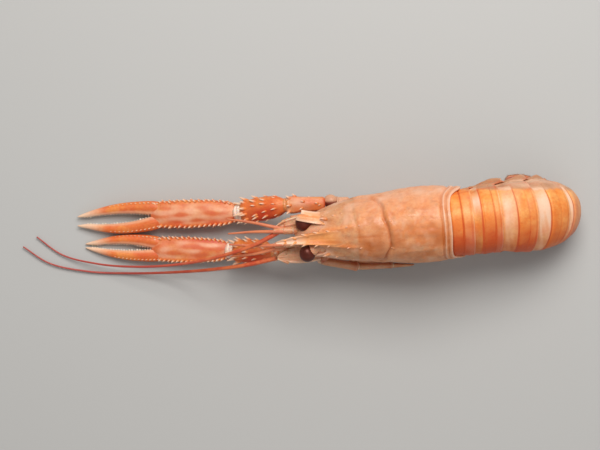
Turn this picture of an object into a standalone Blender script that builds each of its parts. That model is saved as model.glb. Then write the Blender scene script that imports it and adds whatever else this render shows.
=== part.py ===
"""A cooked langoustine, whole and in its shell, lying on its belly with the tail curled under it.

The animal is worked out in millimetres in its own upright frame: +X runs from head to tail, +Y to
its right and +Z up from its belly. lay() then rolls and turns the trunk to where it lies. Claws,
legs and feelers are routed in the resting frame, where z = 0 is the surface that it lies on.
Every sub-part is modelled as its own closed object, and one Boolean union makes them one solid.
"""

import math

import bmesh
import bpy
import numpy as np

MM = 0.001

# How the trunk lies, and the point of the resting frame under the middle of its bounding box.
TRUNK_ROLL = math.radians(12)
TRUNK_YAW = math.radians(5)
ROLL_AXIS_Z = 18.0
YAW_PIVOT_X = 35.0
FOOTPRINT_MIDDLE = (-15.0, -1.6)

# Carapace, the shell of head and thorax: x, half width, height of the back, height of the belly.
CARAPACE_SECTIONS = (
    (-9.0, 8.0, 30.6, 13.0),
    (-2.0, 10.1, 32.6, 10.6),
    (8.0, 11.8, 34.6, 8.8),
    (15.0, 12.5, 35.5, 8.6),
    (26.0, 13.7, 36.9, 8.8),
    (34.0, 13.4, 37.0, 10.2),
    (38.5, 12.5, 36.3, 12.4),
)
CARAPACE_FRONT_X = CARAPACE_SECTIONS[0][0]
CARAPACE_REAR_X = CARAPACE_SECTIONS[-1][0]
WIDEST_SHARE = 0.42  # height of the widest level, as a share of the section's height
REAR_RIM_GROOVE_X = 36.0
REAR_RIM_GROOVE_DEPTH = 0.5
CERVICAL_GROOVE_DEPTH = 0.95
CERVICAL_GROOVE_HALF_WIDTH = 1.3

# Lines round the carapace, as (degrees round from the middle of the back, x or shift of x). The cervical
# groove runs forward down the flanks. The rear edge is swept back at the flanks, and the front edge is
# drawn back at the eye sockets and out in a corner below them.
CERVICAL_GROOVE = ((0, 14.5), (35, 13.9), (62, 12.4), (82, 9.0), (98, 3.5), (112, -4.0), (180, -4.0))
CERVICAL_GROOVE_ENDS = (118, 140)
REAR_SWEEP = ((0, 0.0), (48, 0.2), (60, 0.9), (72, 2.7), (85, 4.8), (95, 4.6), (125, 0.6), (180, -1.5))
FRONT_SWEEP = ((0, 0.0), (14, 0.2), (36, 2.6), (56, 0.8), (70, -1.6), (86, 0.4), (120, 2.6), (180, 3.5))
REAR_SWEEP_FROM_X = 20.0
FRONT_SWEEP_FROM_X = 4.0
GROOVE_X = CERVICAL_GROOVE[0][1]
CARAPACE_COLUMNS = [[(row[0], row[k]) for row in CARAPACE_SECTIONS] for k in (1, 2, 3)]

# Thorns of the carapace, in pairs: x, how far out from the middle, and size.
CARAPACE_SPINES = ((-6.0, 6.6, 1.9), (0.5, 4.6, 1.2), (6.0, 4.2, 0.9), (17.5, 5.6, 0.9))

# Rostrum, the toothed beak between the eyes.
ROSTRUM_ROOT_X, ROSTRUM_TIP_X = 3.0, -24.0
ROSTRUM_HALF_WIDTH = 3.2
ROSTRUM_TEETH = 3
ROSTRUM_TOOTH_STEP = 4.4
ROSTRUM_HEIGHTS = ((ROSTRUM_TIP_X, 31.8), (-16.0, 30.6), (-8.0, 31.0), (-3.0, 31.9), (ROSTRUM_ROOT_X, 31.8))

# The block between beak and mouth, as x, height of its middle, half width and half height.
HEAD_BLOCK = (
    (-4.0, 22.6, 8.4, 7.0),
    (-10.0, 23.0, 7.4, 6.2),
    (-14.0, 22.8, 5.6, 4.6),
    (-17.0, 22.4, 3.6, 2.8),
)

# Each eye is a short kidney across the end of its stalk: the middles of the right and left one, and half
# their size along x, y and z. The left one is raised a little.
EYE_MIDDLES = {1: (-13.7, 5.2, 25.9), -1: (-13.2, 5.7, 28.0)}
EYE_HALF_SIZE = (2.85, 3.05, 2.6)
EYE_STALK_ROOT = (-7.0, 3.0, 26.6)
EYE_STALK_BENDS = ((3.4, -1.1, -0.4), (1.4, -0.4, -0.2))  # from the eye's middle
EYE_STALK_RADII = (1.7, 1.8, 2.0)

# The plate over the right eye: points across its root in the carapace, its middle and its notched end.
BROW_ROOT = ((-6.0, 4.4, 28.9), (-6.0, 6.7, 26.8), (-6.0, 8.0, 23.6))
BROW_MIDDLE = ((-10.8, 5.5, 29.8), (-9.9, 7.4, 29.4), (-9.3, 8.8, 27.0))
BROW_END = ((-16.3, 6.8, 28.0), (-15.9, 8.1, 28.3), (-14.4, 9.0, 28.3), (-14.0, 10.3, 27.2))
BROW_THICKNESS = 0.7

# The leaf-shaped scale beside each feeler. The right one leans in towards the beak, with the feeler's foot.
SCALE_LENGTH = 15.5
SCALE_ROOT_X, SCALE_ROOT_HEIGHT = -9.0, 23.4
SCALE_ACROSS = {1: (5.8, 3.4), -1: (7.0, 7.4)}  # how far out its middle lies, at its root and at its tip
FOOT_LEAN = {1: 1.3, -1: 0.0}
SCALE_OUTLINE = ((0, -2.4), (0.39, -2.8), (0.77, -2.0), (1, 0.4), (0.84, 2.2), (0.45, 2.8), (0, 2.2))
SCALE_THICKNESS = 0.8

# Right-hand routes in the upright frame, mirrored for the left: the jointed foot of a long feeler, the
# two short feelers, and the outer mouthpart that is folded forward under the head.
FEELER_FOOT = ((-10.0, 6.0, 21.0), (-14.0, 6.4, 20.6), (-18.0, 6.2, 21.0), (-21.0, 5.6, 21.6))
FEELER_FOOT_RADII = (2.8, 2.4, 2.0, 1.4)
SHORT_FEELERS = (
    ((-15.0, 2.0, 24.4), (-22.0, 2.4, 24.6), (-31.0, 2.6, 22.0), (-41.0, 2.0, 18.4)),
    ((-15.0, 2.0, 24.4), (-22.0, 3.4, 23.6), (-31.0, 5.6, 21.0), (-41.0, 7.0, 16.4)),
)
SHORT_FEELER_RADII = ((0, 1.0), (1, 0.42))
JAW_LEG = ((3.0, 4.4, 11.6), (-6.0, 5.2, 10.4), (-13.0, 4.6, 12.2), (-17.0, 3.2, 15.4), (-14.0, 2.2, 17.8))
JAW_LEG_RADII = ((0, 1.9), (0.3, 1.7), (0.45, 1.4), (0.7, 1.3), (1, 0.6))

# Abdomen: for each of the six rings, the pale front facet and the coloured shell behind it.
FACET_LENGTHS = (0.0, 2.7, 5.4, 5.0, 2.0, 1.5)
SHELL_LENGTHS = (9.0, 7.6, 8.2, 9.2, 9.7, 10.6)
RING_HALF_WIDTHS = (11.4, 12.0, 12.1, 11.8, 10.8, 9.2, 6.0)
RING_ARCH_HEIGHTS = (9.8, 10.4, 10.6, 10.6, 10.2, 8.4, 3.4)
PLEURON_DEPTHS = (13.0, 16.2, 16.4, 16.0, 14.2, 11.0, 5.6)
BELLY_DEPTHS = (12.4, 12.8, 12.8, 12.2, 11.0, 9.2, 4.8)
RING_START_HEADINGS = (0.0, 3.0, 8.0, 21.0, 44.0, 86.0, 154.0)  # degrees below level
PLEURON_LEANS = (0.0, 4.0, 4.0, 4.0, 3.0, 1.5, 0.0)  # how far the side lobes' edges lean to the rear
LEAST_LEAN = 0.7  # share of it that is left in the notches between the lobes
PLEURON_FLARE = {1: 2.3, -1: 0.4}  # how far the side lobes' edges stand out, to the right and to the left
STEP_HEIGHT = 0.8  # a shell stands proud of the next ring's facet

# Rings of the skin over one shell, as (share of the shell, inset, how far its side lobes hang), and the
# two over the facet before it, as (shift from the facet's ends, share of the step, side lobes).
SHELL_RINGS = ((0.06, 0.1, 0.6), (0.4, 0.3, 1.0), (0.75, 0.0, 0.9), (1.0, 0.0, 0.3))
FACET_START_RING = (0.25, 1.0, 0.15)
FACET_END_RING = (-0.3, 0.7, 0.4)
ABDOMEN_START = (37.6, 35.6)  # x and z of the back where the abdomen leaves the carapace
TAIL_FAN_LENGTH = 21.0
FAN_THICKNESS = 1.6
FAN_SPREAD = {1: 12.2, -1: 9.2}  # how far out the outer leaf's end lies, to the right and to the left
SWIMMERET_RADII = (1.3, 1.9, 0.8)

# Claws: shoulder, elbow and wrist in the resting frame, then the length of the hand and its heading.
RIGHT_CLAW = {
    "side": 1,
    "shoulder": (3.0, 6.5, 12.5),
    "elbow": (-20.5, 5.6, 14.0),
    "wrist": (-36.5, 3.0, 7.6),
    "length": 61.0,
    "heading": 181.5,
    "half_width": 5.2,
    "gape": 6.0,
}
LEFT_CLAW = {
    "side": -1,
    "shoulder": (3.0, -8.5, 12.0),
    "elbow": (-25.0, -11.6, 10.5),
    "wrist": (-39.5, -11.0, 6.4),
    "length": 55.0,
    "heading": 179.0,
    "half_width": 4.7,
    "gape": 3.0,
}
HAND_DROP = math.radians(3.4)  # how far a hand slopes down to its tip
UPPER_ARM_RADII = ((0, 2.6), (0.25, 2.6), (0.75, 3.0), (0.92, 3.2), (1, 2.3))
FOREARM_RADII = ((-0.08, 2.2), (0.12, 3.6), (0.4, 4.4), (0.75, 4.3), (1.0, 3.4), (1.12, 2.4))

# Thorns of an arm, as (share of the way to the next joint, degrees round from its side).
FOREARM_SPINES = ((0.25, 60), (0.5, 20), (0.5, 110), (0.8, 65), (0.8, 150), (0.8, 10), (0.25, 130))
UPPER_ARM_SPINES = ((0.9, 40), (0.9, 120), (0.6, 80))
PALM_SHARE = 0.53
PALM_HALF_THICKNESS = 3.7
PALM_SPINES = 8
PALM_KEELS = ((0.74, 0.74), (-0.74, 0.74), (1.0, 0.0))  # the three rows of thorns: across, up
PALM_SPINE_ROOT = 0.62
FINGER_ROOT_DEPTH = 3.5
FINGER_STATIONS = 10
FINGER_TAPER = ((0, 0.9), (0.1, 1.0), (0.3, 0.88), (0.7, 0.56), (0.92, 0.28), (1, 0.1))
PALM_WIDTHS = ((0, 0.52), (0.12, 0.8), (0.4, 1.0), (0.8, 1.02), (0.94, 0.94), (1.03, 0.6))
PALM_THICKNESSES = ((0, 0.6), (0.15, 0.86), (0.45, 1.0), (0.8, 0.95), (0.94, 0.82), (1.03, 0.45))

# Walking legs: hip, knee, ankle and tip in the resting frame.
RIGHT_LEGS = (
    ((6.0, 3.6, 12.6), (-2.5, 4.6, 9.0), (3.0, 6.2, 4.2), (17.5, 6.6, 0.8)),
    ((13.5, 4.0, 12.0), (5.5, 7.2, 6.4), (14.0, 8.8, 2.8), (30.0, 10.6, 0.8)),
    ((21.5, 4.2, 12.0), (31.5, 10.0, 7.2), (25.5, 7.6, 2.8), (15.0, 3.4, 0.8)),
    ((29.0, 4.2, 12.6), (42.0, 8.8, 8.4), (35.0, 7.6, 2.6), (24.0, 4.6, 0.8)),
)
LEFT_LEGS = (
    ((6.0, -5.2, 11.8), (-7.6, -14.6, 8.6), (6.0, -16.8, 4.6), (27.0, -16.2, 0.8)),
    ((13.5, -5.0, 11.2), (4.0, -14.2, 4.6), (15.0, -15.2, 2.2), (30.0, -12.8, 0.8)),
    ((21.5, -5.0, 11.2), (33.0, -12.6, 6.8), (26.0, -13.0, 2.4), (14.0, -10.0, 0.8)),
    ((29.0, -4.8, 11.8), (42.0, -8.0, 8.4), (36.0, -9.4, 2.6), (25.0, -7.0, 0.8)),
)
LEG_RADIUS = 1.3
LEG_RADII = (
    *((0, 1.9), (0.1, 1.72), (0.2, 1.25), (0.42, 1.0)),
    *((0.5, 0.8), (0.62, 0.86), (0.75, 0.7), (1, 0.34)),
)

# Feelers, in the resting frame. Both long ones sweep down to the left of the claws.
LEFT_FEELER = (
    (-20.0, -12.6, 19.6),
    (-33.0, -15.8, 16.8),
    (-47.0, -17.8, 11.0),
    (-62.0, -19.0, 4.0),
    (-78.0, -19.4, 0.8),
    (-94.0, -18.6, 0.8),
    (-108.0, -15.4, 0.8),
    (-117.0, -9.6, 0.8),
)
RIGHT_FEELER = (
    (-20.0, -2.6, 24.0),
    (-31.0, -8.6, 22.4),
    (-44.0, -13.0, 17.4),
    (-58.0, -15.8, 11.4),
    (-74.0, -16.9, 6.4),
    (-90.0, -15.8, 2.6),
    (-103.0, -12.4, 0.8),
    (-112.0, -6.0, 0.8),
)
FEELER_RADIUS, FEELER_TIP_RADIUS = 0.9, 0.42

SHELL_COLOUR = (0.76, 0.31, 0.12)
CLAW_COLOUR = (0.68, 0.17, 0.04)
LEG_COLOUR = (0.72, 0.36, 0.18)
EYE_COLOUR = (0.012, 0.006, 0.005)


# ---------------------------------------------------------------- curves and frames


def keyed(x, keys):
    """A smooth curve through (position, value) keys, read at x."""
    at = [k[0] for k in keys]
    value = [k[1] for k in keys]
    slope = np.gradient(value, at)
    i = min(max(int(np.searchsorted(at, x)) - 1, 0), len(at) - 2)
    span = at[i + 1] - at[i]
    t = min(max((x - at[i]) / span, 0.0), 1.0)
    rise = value[i + 1] - value[i]
    return (
        value[i]
        + rise * t * t * (3 - 2 * t)
        + span * t * (1 - t) * (slope[i] * (1 - t) - slope[i + 1] * t)
    )


def smooth_path(points, steps):
    """Points along a smooth curve through the given ones, evenly spaced by their share of the way."""
    points = np.array(points, float)
    gaps = np.linalg.norm(np.diff(points, axis=0), axis=1)
    along = np.concatenate([[0.0], np.cumsum(gaps)])
    places = np.linspace(0.0, along[-1], steps)
    columns = [[keyed(s, list(zip(along, points[:, axis]))) for s in places] for axis in range(3)]
    return np.array(columns).T


def unit(v):
    return np.array(v, float) / np.linalg.norm(v)


def turned(a, b, angle):
    """The pair of coordinates (a, b) turned about zero, from a towards b."""
    return a * math.cos(angle) - b * math.sin(angle), a * math.sin(angle) + b * math.cos(angle)


def lay(points, share=1.0):
    """Rolls and turns points of the upright trunk into the resting frame. share is the share of roll."""
    x, y, z = np.array(points, float).reshape(-1, 3).T
    y, z = turned(y, z - ROLL_AXIS_Z, TRUNK_ROLL * share)
    x, y = turned(x - YAW_PIVOT_X, y, TRUNK_YAW)
    return np.column_stack([x + YAW_PIVOT_X, y, z + ROLL_AXIS_Z])


# ---------------------------------------------------------------- solids


def finish(name, colour, roughness=0.42):
    """A Principled material of one colour."""
    material = bpy.data.materials.get(name) or bpy.data.materials.new(name)
    material.use_nodes = True
    shader = material.node_tree.nodes["Principled BSDF"]
    shader.inputs["Base Color"].default_value = (*colour, 1.0)
    shader.inputs["Roughness"].default_value = roughness
    shader.inputs["Metallic"].default_value = 0.0
    material.diffuse_color = (*colour, 1.0)
    return material


def new_object(name, bm, material):
    """Turns a bmesh in millimetres into a named object in metres, standing over its footprint's middle."""
    bmesh.ops.recalc_face_normals(bm, faces=bm.faces)
    shift = np.array([*FOOTPRINT_MIDDLE, 0.0])
    for vertex in bm.verts:
        vertex.co = (np.array(vertex.co) - shift) * MM
    mesh = bpy.data.meshes.new(name)
    bm.to_mesh(mesh)
    bm.free()
    mesh.materials.append(material)
    mesh.shade_smooth()
    made = bpy.data.objects.new(name, mesh)
    bpy.data.collections["pieces"].objects.link(made)
    return made


def loft(name, rings, material):
    """A closed skin over rings of equal point count, with a fan of triangles at each end.
    What would lie under the surface is pressed flat on it."""
    bm = bmesh.new()
    rings = [np.column_stack([r[:, :2], np.maximum(r[:, 2], 0.0)]) for r in map(np.array, rings)]
    rows = [[bm.verts.new(p) for p in ring] for ring in rings]
    count = len(rows[0])
    for near, far in zip(rows, rows[1:]):
        for i in range(count):
            j = (i + 1) % count
            bm.faces.new((near[i], near[j], far[j], far[i]))
    for row, ring in ((rows[0], rings[0]), (rows[-1], rings[-1])):
        pole = bm.verts.new(ring.mean(axis=0))
        for i in range(count):
            bm.faces.new((row[i], row[(i + 1) % count], pole))
    return new_object(name, bm, material)


def ellipse(centre, side, up, half_width, half_height, count, power=2.0, keels=0.0):
    """A ring round centre. power over 2 squares it, and keels raises four ridges on its diagonals."""
    angles = np.arange(count) * 2 * math.pi / count
    c, s = np.cos(angles), np.sin(angles)
    reach = 1 - keels * np.cos(4 * angles)
    across = np.sign(c) * np.abs(c) ** (2 / power) * half_width * reach
    high = np.sign(s) * np.abs(s) ** (2 / power) * half_height * reach
    return np.array(centre) + np.outer(across, side) + np.outer(high, up)


def tube(name, path, radii, material, count=6, flat=1.0):
    """A limb along a path, of the given radii. flat under 1 makes it lower than it is wide."""
    path = np.array(path, float)
    ahead = np.gradient(path, axis=0)
    rings = []
    for point, direction, radius in zip(path, ahead, radii):
        direction = unit(direction)
        side = unit(np.cross(direction, (0.0, 0.0, 1.0)))
        up = np.cross(side, direction)
        rings.append(ellipse(point, side, up, radius, radius * flat, count))
    return loft(name, rings, material)


def radii_along(keys, count):
    """Radii at evenly spaced points of a limb, from (share of its length, radius) keys."""
    return [keyed(share, keys) for share in np.linspace(0, 1, count)]


def spine(name, root, tip, radius, material, count=5):
    """A thorn from just under its root to its tip."""
    root, tip = np.array(root, float), np.array(tip, float)
    direction = unit(tip - root)
    side = unit(np.cross(direction, (0.3, 0.2, 0.93)))
    up = np.cross(side, direction)
    base = root - direction * radius
    rings = [ellipse(base, side, up, radius, radius, count), ellipse(tip, side, up, 0.12, 0.12, count)]
    return loft(name, rings, material)


def plate(name, outline, thickness, lay_flat, material):
    """A thin closed leaf: an outline of (along, across) points, placed by lay_flat(along, across, height)."""
    bm = bmesh.new()
    low = [bm.verts.new(lay_flat(u, v, 0.0)) for u, v in outline]
    high = [bm.verts.new(lay_flat(u, v, thickness)) for u, v in outline]
    middle = np.mean(outline, axis=0)
    poles = [bm.verts.new(lay_flat(*middle, 0.0)), bm.verts.new(lay_flat(*middle, thickness * 1.3))]
    count = len(outline)
    for i in range(count):
        j = (i + 1) % count
        bm.faces.new((low[i], low[j], high[j], high[i]))
        bm.faces.new((low[i], low[j], poles[0]))
        bm.faces.new((high[i], high[j], poles[1]))
    return new_object(name, bm, material)


# ---------------------------------------------------------------- head and thorax


def mirrored(route, side):
    """A right-hand route, or its mirror image for side -1."""
    return [(x, side * y, z) for x, y, z in route]


def share_past(x, start, end):
    """How far x is on the way from start to end, from 0 at or before start."""
    return max((x - start) / (end - start), 0.0)


def groove_pull(x):
    """How much a ring at x bends with the cervical groove: 1 at the groove, and 0 at the edges."""
    return float(np.interp(x, (CARAPACE_FRONT_X, GROOVE_X, REAR_RIM_GROOVE_X - 2), (0.0, 1.0, 0.0)))


def carapace_section(x, count):
    """One ring of the carapace, laid where it lies. The rings bend with the cervical groove, so that one
    of them runs along its bottom, and with the swept front and rear edges."""
    ring = []
    for k in range(count):
        degrees = 360 * k / count  # from the middle of the back, round by the right flank
        away = min(degrees, 360 - degrees)
        c, s = math.cos(math.radians(degrees)), math.sin(math.radians(degrees))
        here = x + (keyed(away, CERVICAL_GROOVE) - GROOVE_X) * groove_pull(x)
        half_width, back, belly = (keyed(here, column) for column in CARAPACE_COLUMNS)
        widest = belly + WIDEST_SHARE * (back - belly)
        fades = 1 - min(max(np.interp(away, CERVICAL_GROOVE_ENDS, (0, 1)), 0), 1)
        dip = CERVICAL_GROOVE_DEPTH * math.exp(-(((x - GROOVE_X) / CERVICAL_GROOVE_HALF_WIDTH) ** 2)) * fades
        dip += REAR_RIM_GROOVE_DEPTH * math.exp(-(((x - REAR_RIM_GROOVE_X) / 0.8) ** 2)) * (c > -0.5)
        across = math.copysign(abs(s) ** 0.88, s) * (half_width - dip)
        reach = (back - widest - dip) if c > 0 else (widest - belly)
        pinch = 1.0 if c > 0 else 1.0 - 0.35 * abs(c) ** 1.5
        swept = keyed(away, REAR_SWEEP) * share_past(here, REAR_SWEEP_FROM_X, CARAPACE_REAR_X) ** 2
        swept += keyed(away, FRONT_SWEEP) * share_past(here, FRONT_SWEEP_FROM_X, CARAPACE_FRONT_X) ** 2
        ring.append((here + swept, across * pinch, widest + math.copysign(abs(c) ** 0.94, c) * reach))
    return lay(ring)


def carapace(material):
    """The shell of head and thorax, closed below by the breastplate."""
    stations = np.concatenate(
        [
            np.linspace(CARAPACE_FRONT_X, GROOVE_X - 4.0, 9),
            GROOVE_X + np.array([-2.2, -1.1, 0.0, 1.1, 2.2]),
            np.linspace(GROOVE_X + 5, REAR_RIM_GROOVE_X - 2.5, 4),
            [REAR_RIM_GROOVE_X - 1.0, REAR_RIM_GROOVE_X, REAR_RIM_GROOVE_X + 1.0, CARAPACE_REAR_X],
        ]
    )
    count = 32
    rings = [carapace_section(x, count) for x in stations]
    first = rings[0].mean(axis=0)
    nose = first + (rings[0] - first) * 0.86 + (-0.6, 0.0, 0.0)
    last = rings[-1].mean(axis=0)
    hem = last + (rings[-1] - last) * 0.9
    return loft("carapace", [nose, *rings, hem], material)


def rostrum_height(x):
    return keyed(x, ROSTRUM_HEIGHTS)


def rostrum(material):
    """The beak: a tapered ridge that rises a little at its tip, with upturned teeth on both edges."""
    rings = []
    length = ROSTRUM_ROOT_X - ROSTRUM_TIP_X
    for x in np.linspace(ROSTRUM_ROOT_X, ROSTRUM_TIP_X, 9):
        share = (x - ROSTRUM_TIP_X) / length
        half_width = 0.25 + ROSTRUM_HALF_WIDTH * share**0.8
        half_height = 0.3 + 1.5 * share**0.7
        centre = (x, 0, rostrum_height(x) - half_height * 0.4)
        rings.append(lay(ellipse(centre, (0, 1, 0), (0, 0, 1), half_width, half_height, 8)))
    loft("rostrum", rings, material)
    for side in (-1, 1):
        for i in range(ROSTRUM_TEETH):
            x = ROSTRUM_TIP_X + 1.5 * ROSTRUM_TOOTH_STEP + i * ROSTRUM_TOOTH_STEP
            edge = ROSTRUM_HALF_WIDTH * ((x - ROSTRUM_TIP_X) / length) ** 0.8
            root = (x, side * edge * 0.8, rostrum_height(x))
            tip = (x - 2.4, side * (edge + 0.9), rostrum_height(x) + 1.0)
            spine(f"rostrum_tooth_{side}_{i}", *lay([root, tip]), 0.6, material)


def carapace_spines(material):
    """Short thorns in pairs behind the eyes and along the back of the head."""
    for side in (-1, 1):
        for x, y, size in CARAPACE_SPINES:
            half_width, back, belly = (keyed(x, column) for column in CARAPACE_COLUMNS)
            widest = belly + WIDEST_SHARE * (back - belly)
            z = widest + (back - widest) * math.sqrt(1 - (y / half_width) ** 2)
            root, tip = lay([(x, side * y, z - 0.6), (x - size * 1.5, side * (y + 0.2), z + size * 0.75)])
            spine(f"carapace_spine_{side}_{x:.0f}", root, tip, 0.75, material)


def head(material, eye_material):
    """The block between beak and mouth, which carries eyes, feelers and scales."""
    block = [
        lay(ellipse((x, 0, z), (0, 1, 0), (0, 0, 1), half_width, half_height, 12))
        for x, z, half_width, half_height in HEAD_BLOCK
    ]
    loft("head_block", block, material)
    for side in (-1, 1):
        stalk = [EYE_STALK_ROOT, *(np.add(EYE_MIDDLES[side], bend) for bend in EYE_STALK_BENDS)]
        tube(f"eye_stalk_{side}", lay(mirrored(stalk, side)), EYE_STALK_RADII, material)
        eye(side, eye_material)
        antenna_base(side, material)
    brow_plate(material)


def eye(side, material):
    """An eye at the end of its stalk, wider than it is long."""
    x, y, z = EYE_MIDDLES[side]
    half_length, half_width, half_height = EYE_HALF_SIZE
    steps = 7
    rings = []
    for k in range(steps):
        angle = math.pi * (k + 0.5) / steps
        centre = (x - half_length * math.cos(angle), side * y, z)
        swell = math.sin(angle)
        rings.append(lay(ellipse(centre, (0, 1, 0), (0, 0, 1), half_width * swell, half_height * swell, 10)))
    loft(f"eye_{side}", rings, material)


def brow_plate(material):
    """The pointed plate that springs from the carapace and overhangs the right eye."""
    across = [smooth_path(points, 7) for points in (BROW_ROOT, BROW_MIDDLE, BROW_END)]

    def over_the_eye(u, v, height):
        root, middle, end = (line[round(v * 6)] for line in across)
        place = (1 - u) ** 2 * root + 2 * u * (1 - u) * middle + u**2 * end
        return lay([place + (0.0, 0.0, height - BROW_THICKNESS)])[0]

    rim = [(u, 0.0) for u in (0.0, 0.4, 0.7)] + [(1.0, k / 6) for k in range(7)] + [(u, 1.0) for u in (0.7, 0.4, 0.0)]
    plate("brow_plate", rim, BROW_THICKNESS, over_the_eye, material)


def antenna_base(side, material):
    """The jointed foot of a long feeler, the leaf-shaped scale over it, and a pair of short feelers."""
    foot = [(x, y - FOOT_LEAN[side], z) for x, y, z in FEELER_FOOT]
    tube(f"feeler_foot_{side}", lay(mirrored(foot, side)), FEELER_FOOT_RADII, material, count=8)
    root_across, tip_across = SCALE_ACROSS[side]

    def over_the_foot(u, v, height):
        across = root_across + (tip_across - root_across) * u - 0.9 * v
        lift = SCALE_ROOT_HEIGHT - 1.5 * u - 0.05 * v * v
        return lay([(SCALE_ROOT_X - SCALE_LENGTH * u, side * across, lift + height)])[0]

    plate(f"feeler_scale_{side}", SCALE_OUTLINE, SCALE_THICKNESS, over_the_foot, material)
    for branch, route in enumerate(SHORT_FEELERS):
        path = lay(smooth_path(mirrored(route, side), 9))
        tube(f"short_feeler_{side}_{branch}", path, radii_along(SHORT_FEELER_RADII, 9), material, count=5)


def long_feelers(material):
    """The two whips, thick at the foot and fine at the tip."""
    steps = 26
    for name, route in (("long_feeler_left", LEFT_FEELER), ("long_feeler_right", RIGHT_FEELER)):
        radii = np.linspace(FEELER_RADIUS, FEELER_TIP_RADIUS, steps)
        tube(name, smooth_path(route, steps), radii, material, count=5)


def jaw_legs(material):
    """The two outer mouthparts, folded forward under the head."""
    for side in (-1, 1):
        path = lay(smooth_path(mirrored(JAW_LEG, side), 10))
        tube(f"jaw_leg_{side}", path, radii_along(JAW_LEG_RADII, 10), material)


# ---------------------------------------------------------------- abdomen and tail fan


def ring_starts():
    lengths = [f + s for f, s in zip(FACET_LENGTHS, SHELL_LENGTHS)]
    return [0.0, *np.cumsum(lengths)]


def back_curve(step=0.1):
    """Arc length, x, z and heading along the middle of the abdomen's back, down to the tail fan."""
    starts = ring_starts()
    level = 180.0
    keys = [*zip(starts, RING_START_HEADINGS)]
    keys += [(starts[-1] + 4.5, level), (starts[-1] + TAIL_FAN_LENGTH, level)]
    s, (x, z) = 0.0, ABDOMEN_START
    found = []
    while s <= keys[-1][0]:
        heading = math.radians(min(keyed(s, keys), level))
        found.append((s, x, z, heading))
        x += step * math.cos(heading)
        z -= step * math.sin(heading)
        s += step
    return np.array(found)


BACK = back_curve()
BACK_DROP = BACK[:, 2].min()


def on_back(s):
    """(point, direction, inward direction) at arc length s, in the upright frame. The curl's lowest
    point stands on the surface."""
    x, z, heading = (np.interp(s, BACK[:, 0], BACK[:, k]) for k in (1, 2, 3))
    sink = BACK_DROP * np.interp(s, (0.0, ring_starts()[4]), (0.0, 1.0))
    along = np.array([math.cos(heading), 0.0, -math.sin(heading)])
    inward = np.array([-math.sin(heading), 0.0, -math.cos(heading)])
    return np.array([x, 0.0, z - sink]), along, inward


def roll_share(s):
    """The trunk's roll fades out along the abdomen, so that the tail fan lies flat."""
    starts = ring_starts()
    return float(np.interp(s, (starts[1], starts[5]), (1.0, 0.0)))


def lobe_outline(width, arch, pleuron, belly, flare):
    """Points down the outside of a side lobe, round its edge and in to the belly, as distance out, depth
    and share of the lean to the rear."""
    edge = width * 0.93 + flare
    middle = width * 1.01 + flare * 0.3
    half_way = (arch + pleuron) / 2
    return [(middle, half_way, 0.5), (edge, pleuron, 1.0), (edge - 1.6, pleuron, 1.0), (width * 0.74, belly, 0.0)]


def abdomen_section(s, inset, lobe):
    """One ring of the abdomen: an arched back, side lobes hanging by lobe, and a flat belly between them."""
    starts = ring_starts()
    half_width, arch, pleuron, belly, lean_back = (
        keyed(s, list(zip(starts, table)))
        for table in (RING_HALF_WIDTHS, RING_ARCH_HEIGHTS, PLEURON_DEPTHS, BELLY_DEPTHS, PLEURON_LEANS)
    )
    lean_back *= max(lobe, LEAST_LEAN)
    pleuron = belly - 0.6 + (pleuron - belly + 0.6) * lobe
    width = half_width - inset
    angles = np.radians(np.linspace(-90, 90, 15))
    outline = [(width * math.sin(a), inset + (arch - inset) * (1 - math.cos(a)), 0.0) for a in angles]
    outline += lobe_outline(width, arch, pleuron, belly, PLEURON_FLARE[1] * lobe)
    left = lobe_outline(width, arch, pleuron, belly, PLEURON_FLARE[-1] * lobe)
    outline += [(-y, depth, lean) for y, depth, lean in reversed(left)]
    point, along, inward = on_back(s)
    ring = [
        point + np.array([0.0, y, 0.0]) + inward * depth + along * lean_back * lean
        for y, depth, lean in outline
    ]
    return lay(ring, roll_share(s))


def abdomen(material):
    """Six overlapping rings as one skin. Each shell ends in a step down to the next ring's facet."""
    rings = []
    starts = ring_starts()
    for i, (facet, shell) in enumerate(zip(FACET_LENGTHS, SHELL_LENGTHS)):
        if facet:
            for at, (shift, step, lobe) in ((0.0, FACET_START_RING), (facet, FACET_END_RING)):
                rings.append(abdomen_section(starts[i] + at + shift, STEP_HEIGHT * step, lobe))
        for share, inset, lobe in SHELL_RINGS:
            rings.append(abdomen_section(starts[i] + facet + shell * share, inset, lobe))
    loft("abdomen", rings, material)


def fan_leaf(name, root_across, reach_across, length, half_width, height, material):
    """One leaf of the tail fan, flat on the surface, with its rounded end towards the head."""
    root, _, _ = on_back(ring_starts()[-1] + 1.0)
    outline = []
    for k in range(14):
        angle = 2 * math.pi * k / 14
        along = 0.5 * (1 - math.cos(angle))
        outline.append((along, math.sin(angle) * (0.55 + 0.45 * along)))

    def on_surface(u, v, up):
        across = root_across + (reach_across - root_across) * u + v * half_width
        return lay([(root[0] + 1.0 - u * length, across, height + up)], 0.0)[0]

    return plate(name, outline, FAN_THICKNESS, on_surface, material)


def tail_fan(material):
    """Telson in the middle, and two leaves on each side of it that spread outwards."""
    fan_leaf("telson", 0.0, 0.0, TAIL_FAN_LENGTH, 5.4, 0.0, material)
    for side in (-1, 1):
        fan_leaf(f"inner_fan_leaf_{side}", side * 4.0, side * 7.6, TAIL_FAN_LENGTH, 4.4, 0.5, material)
        reach = side * FAN_SPREAD[side]
        fan_leaf(f"outer_fan_leaf_{side}", side * 5.0, reach, TAIL_FAN_LENGTH - 1.0, 4.6, 1.0, material)


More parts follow.
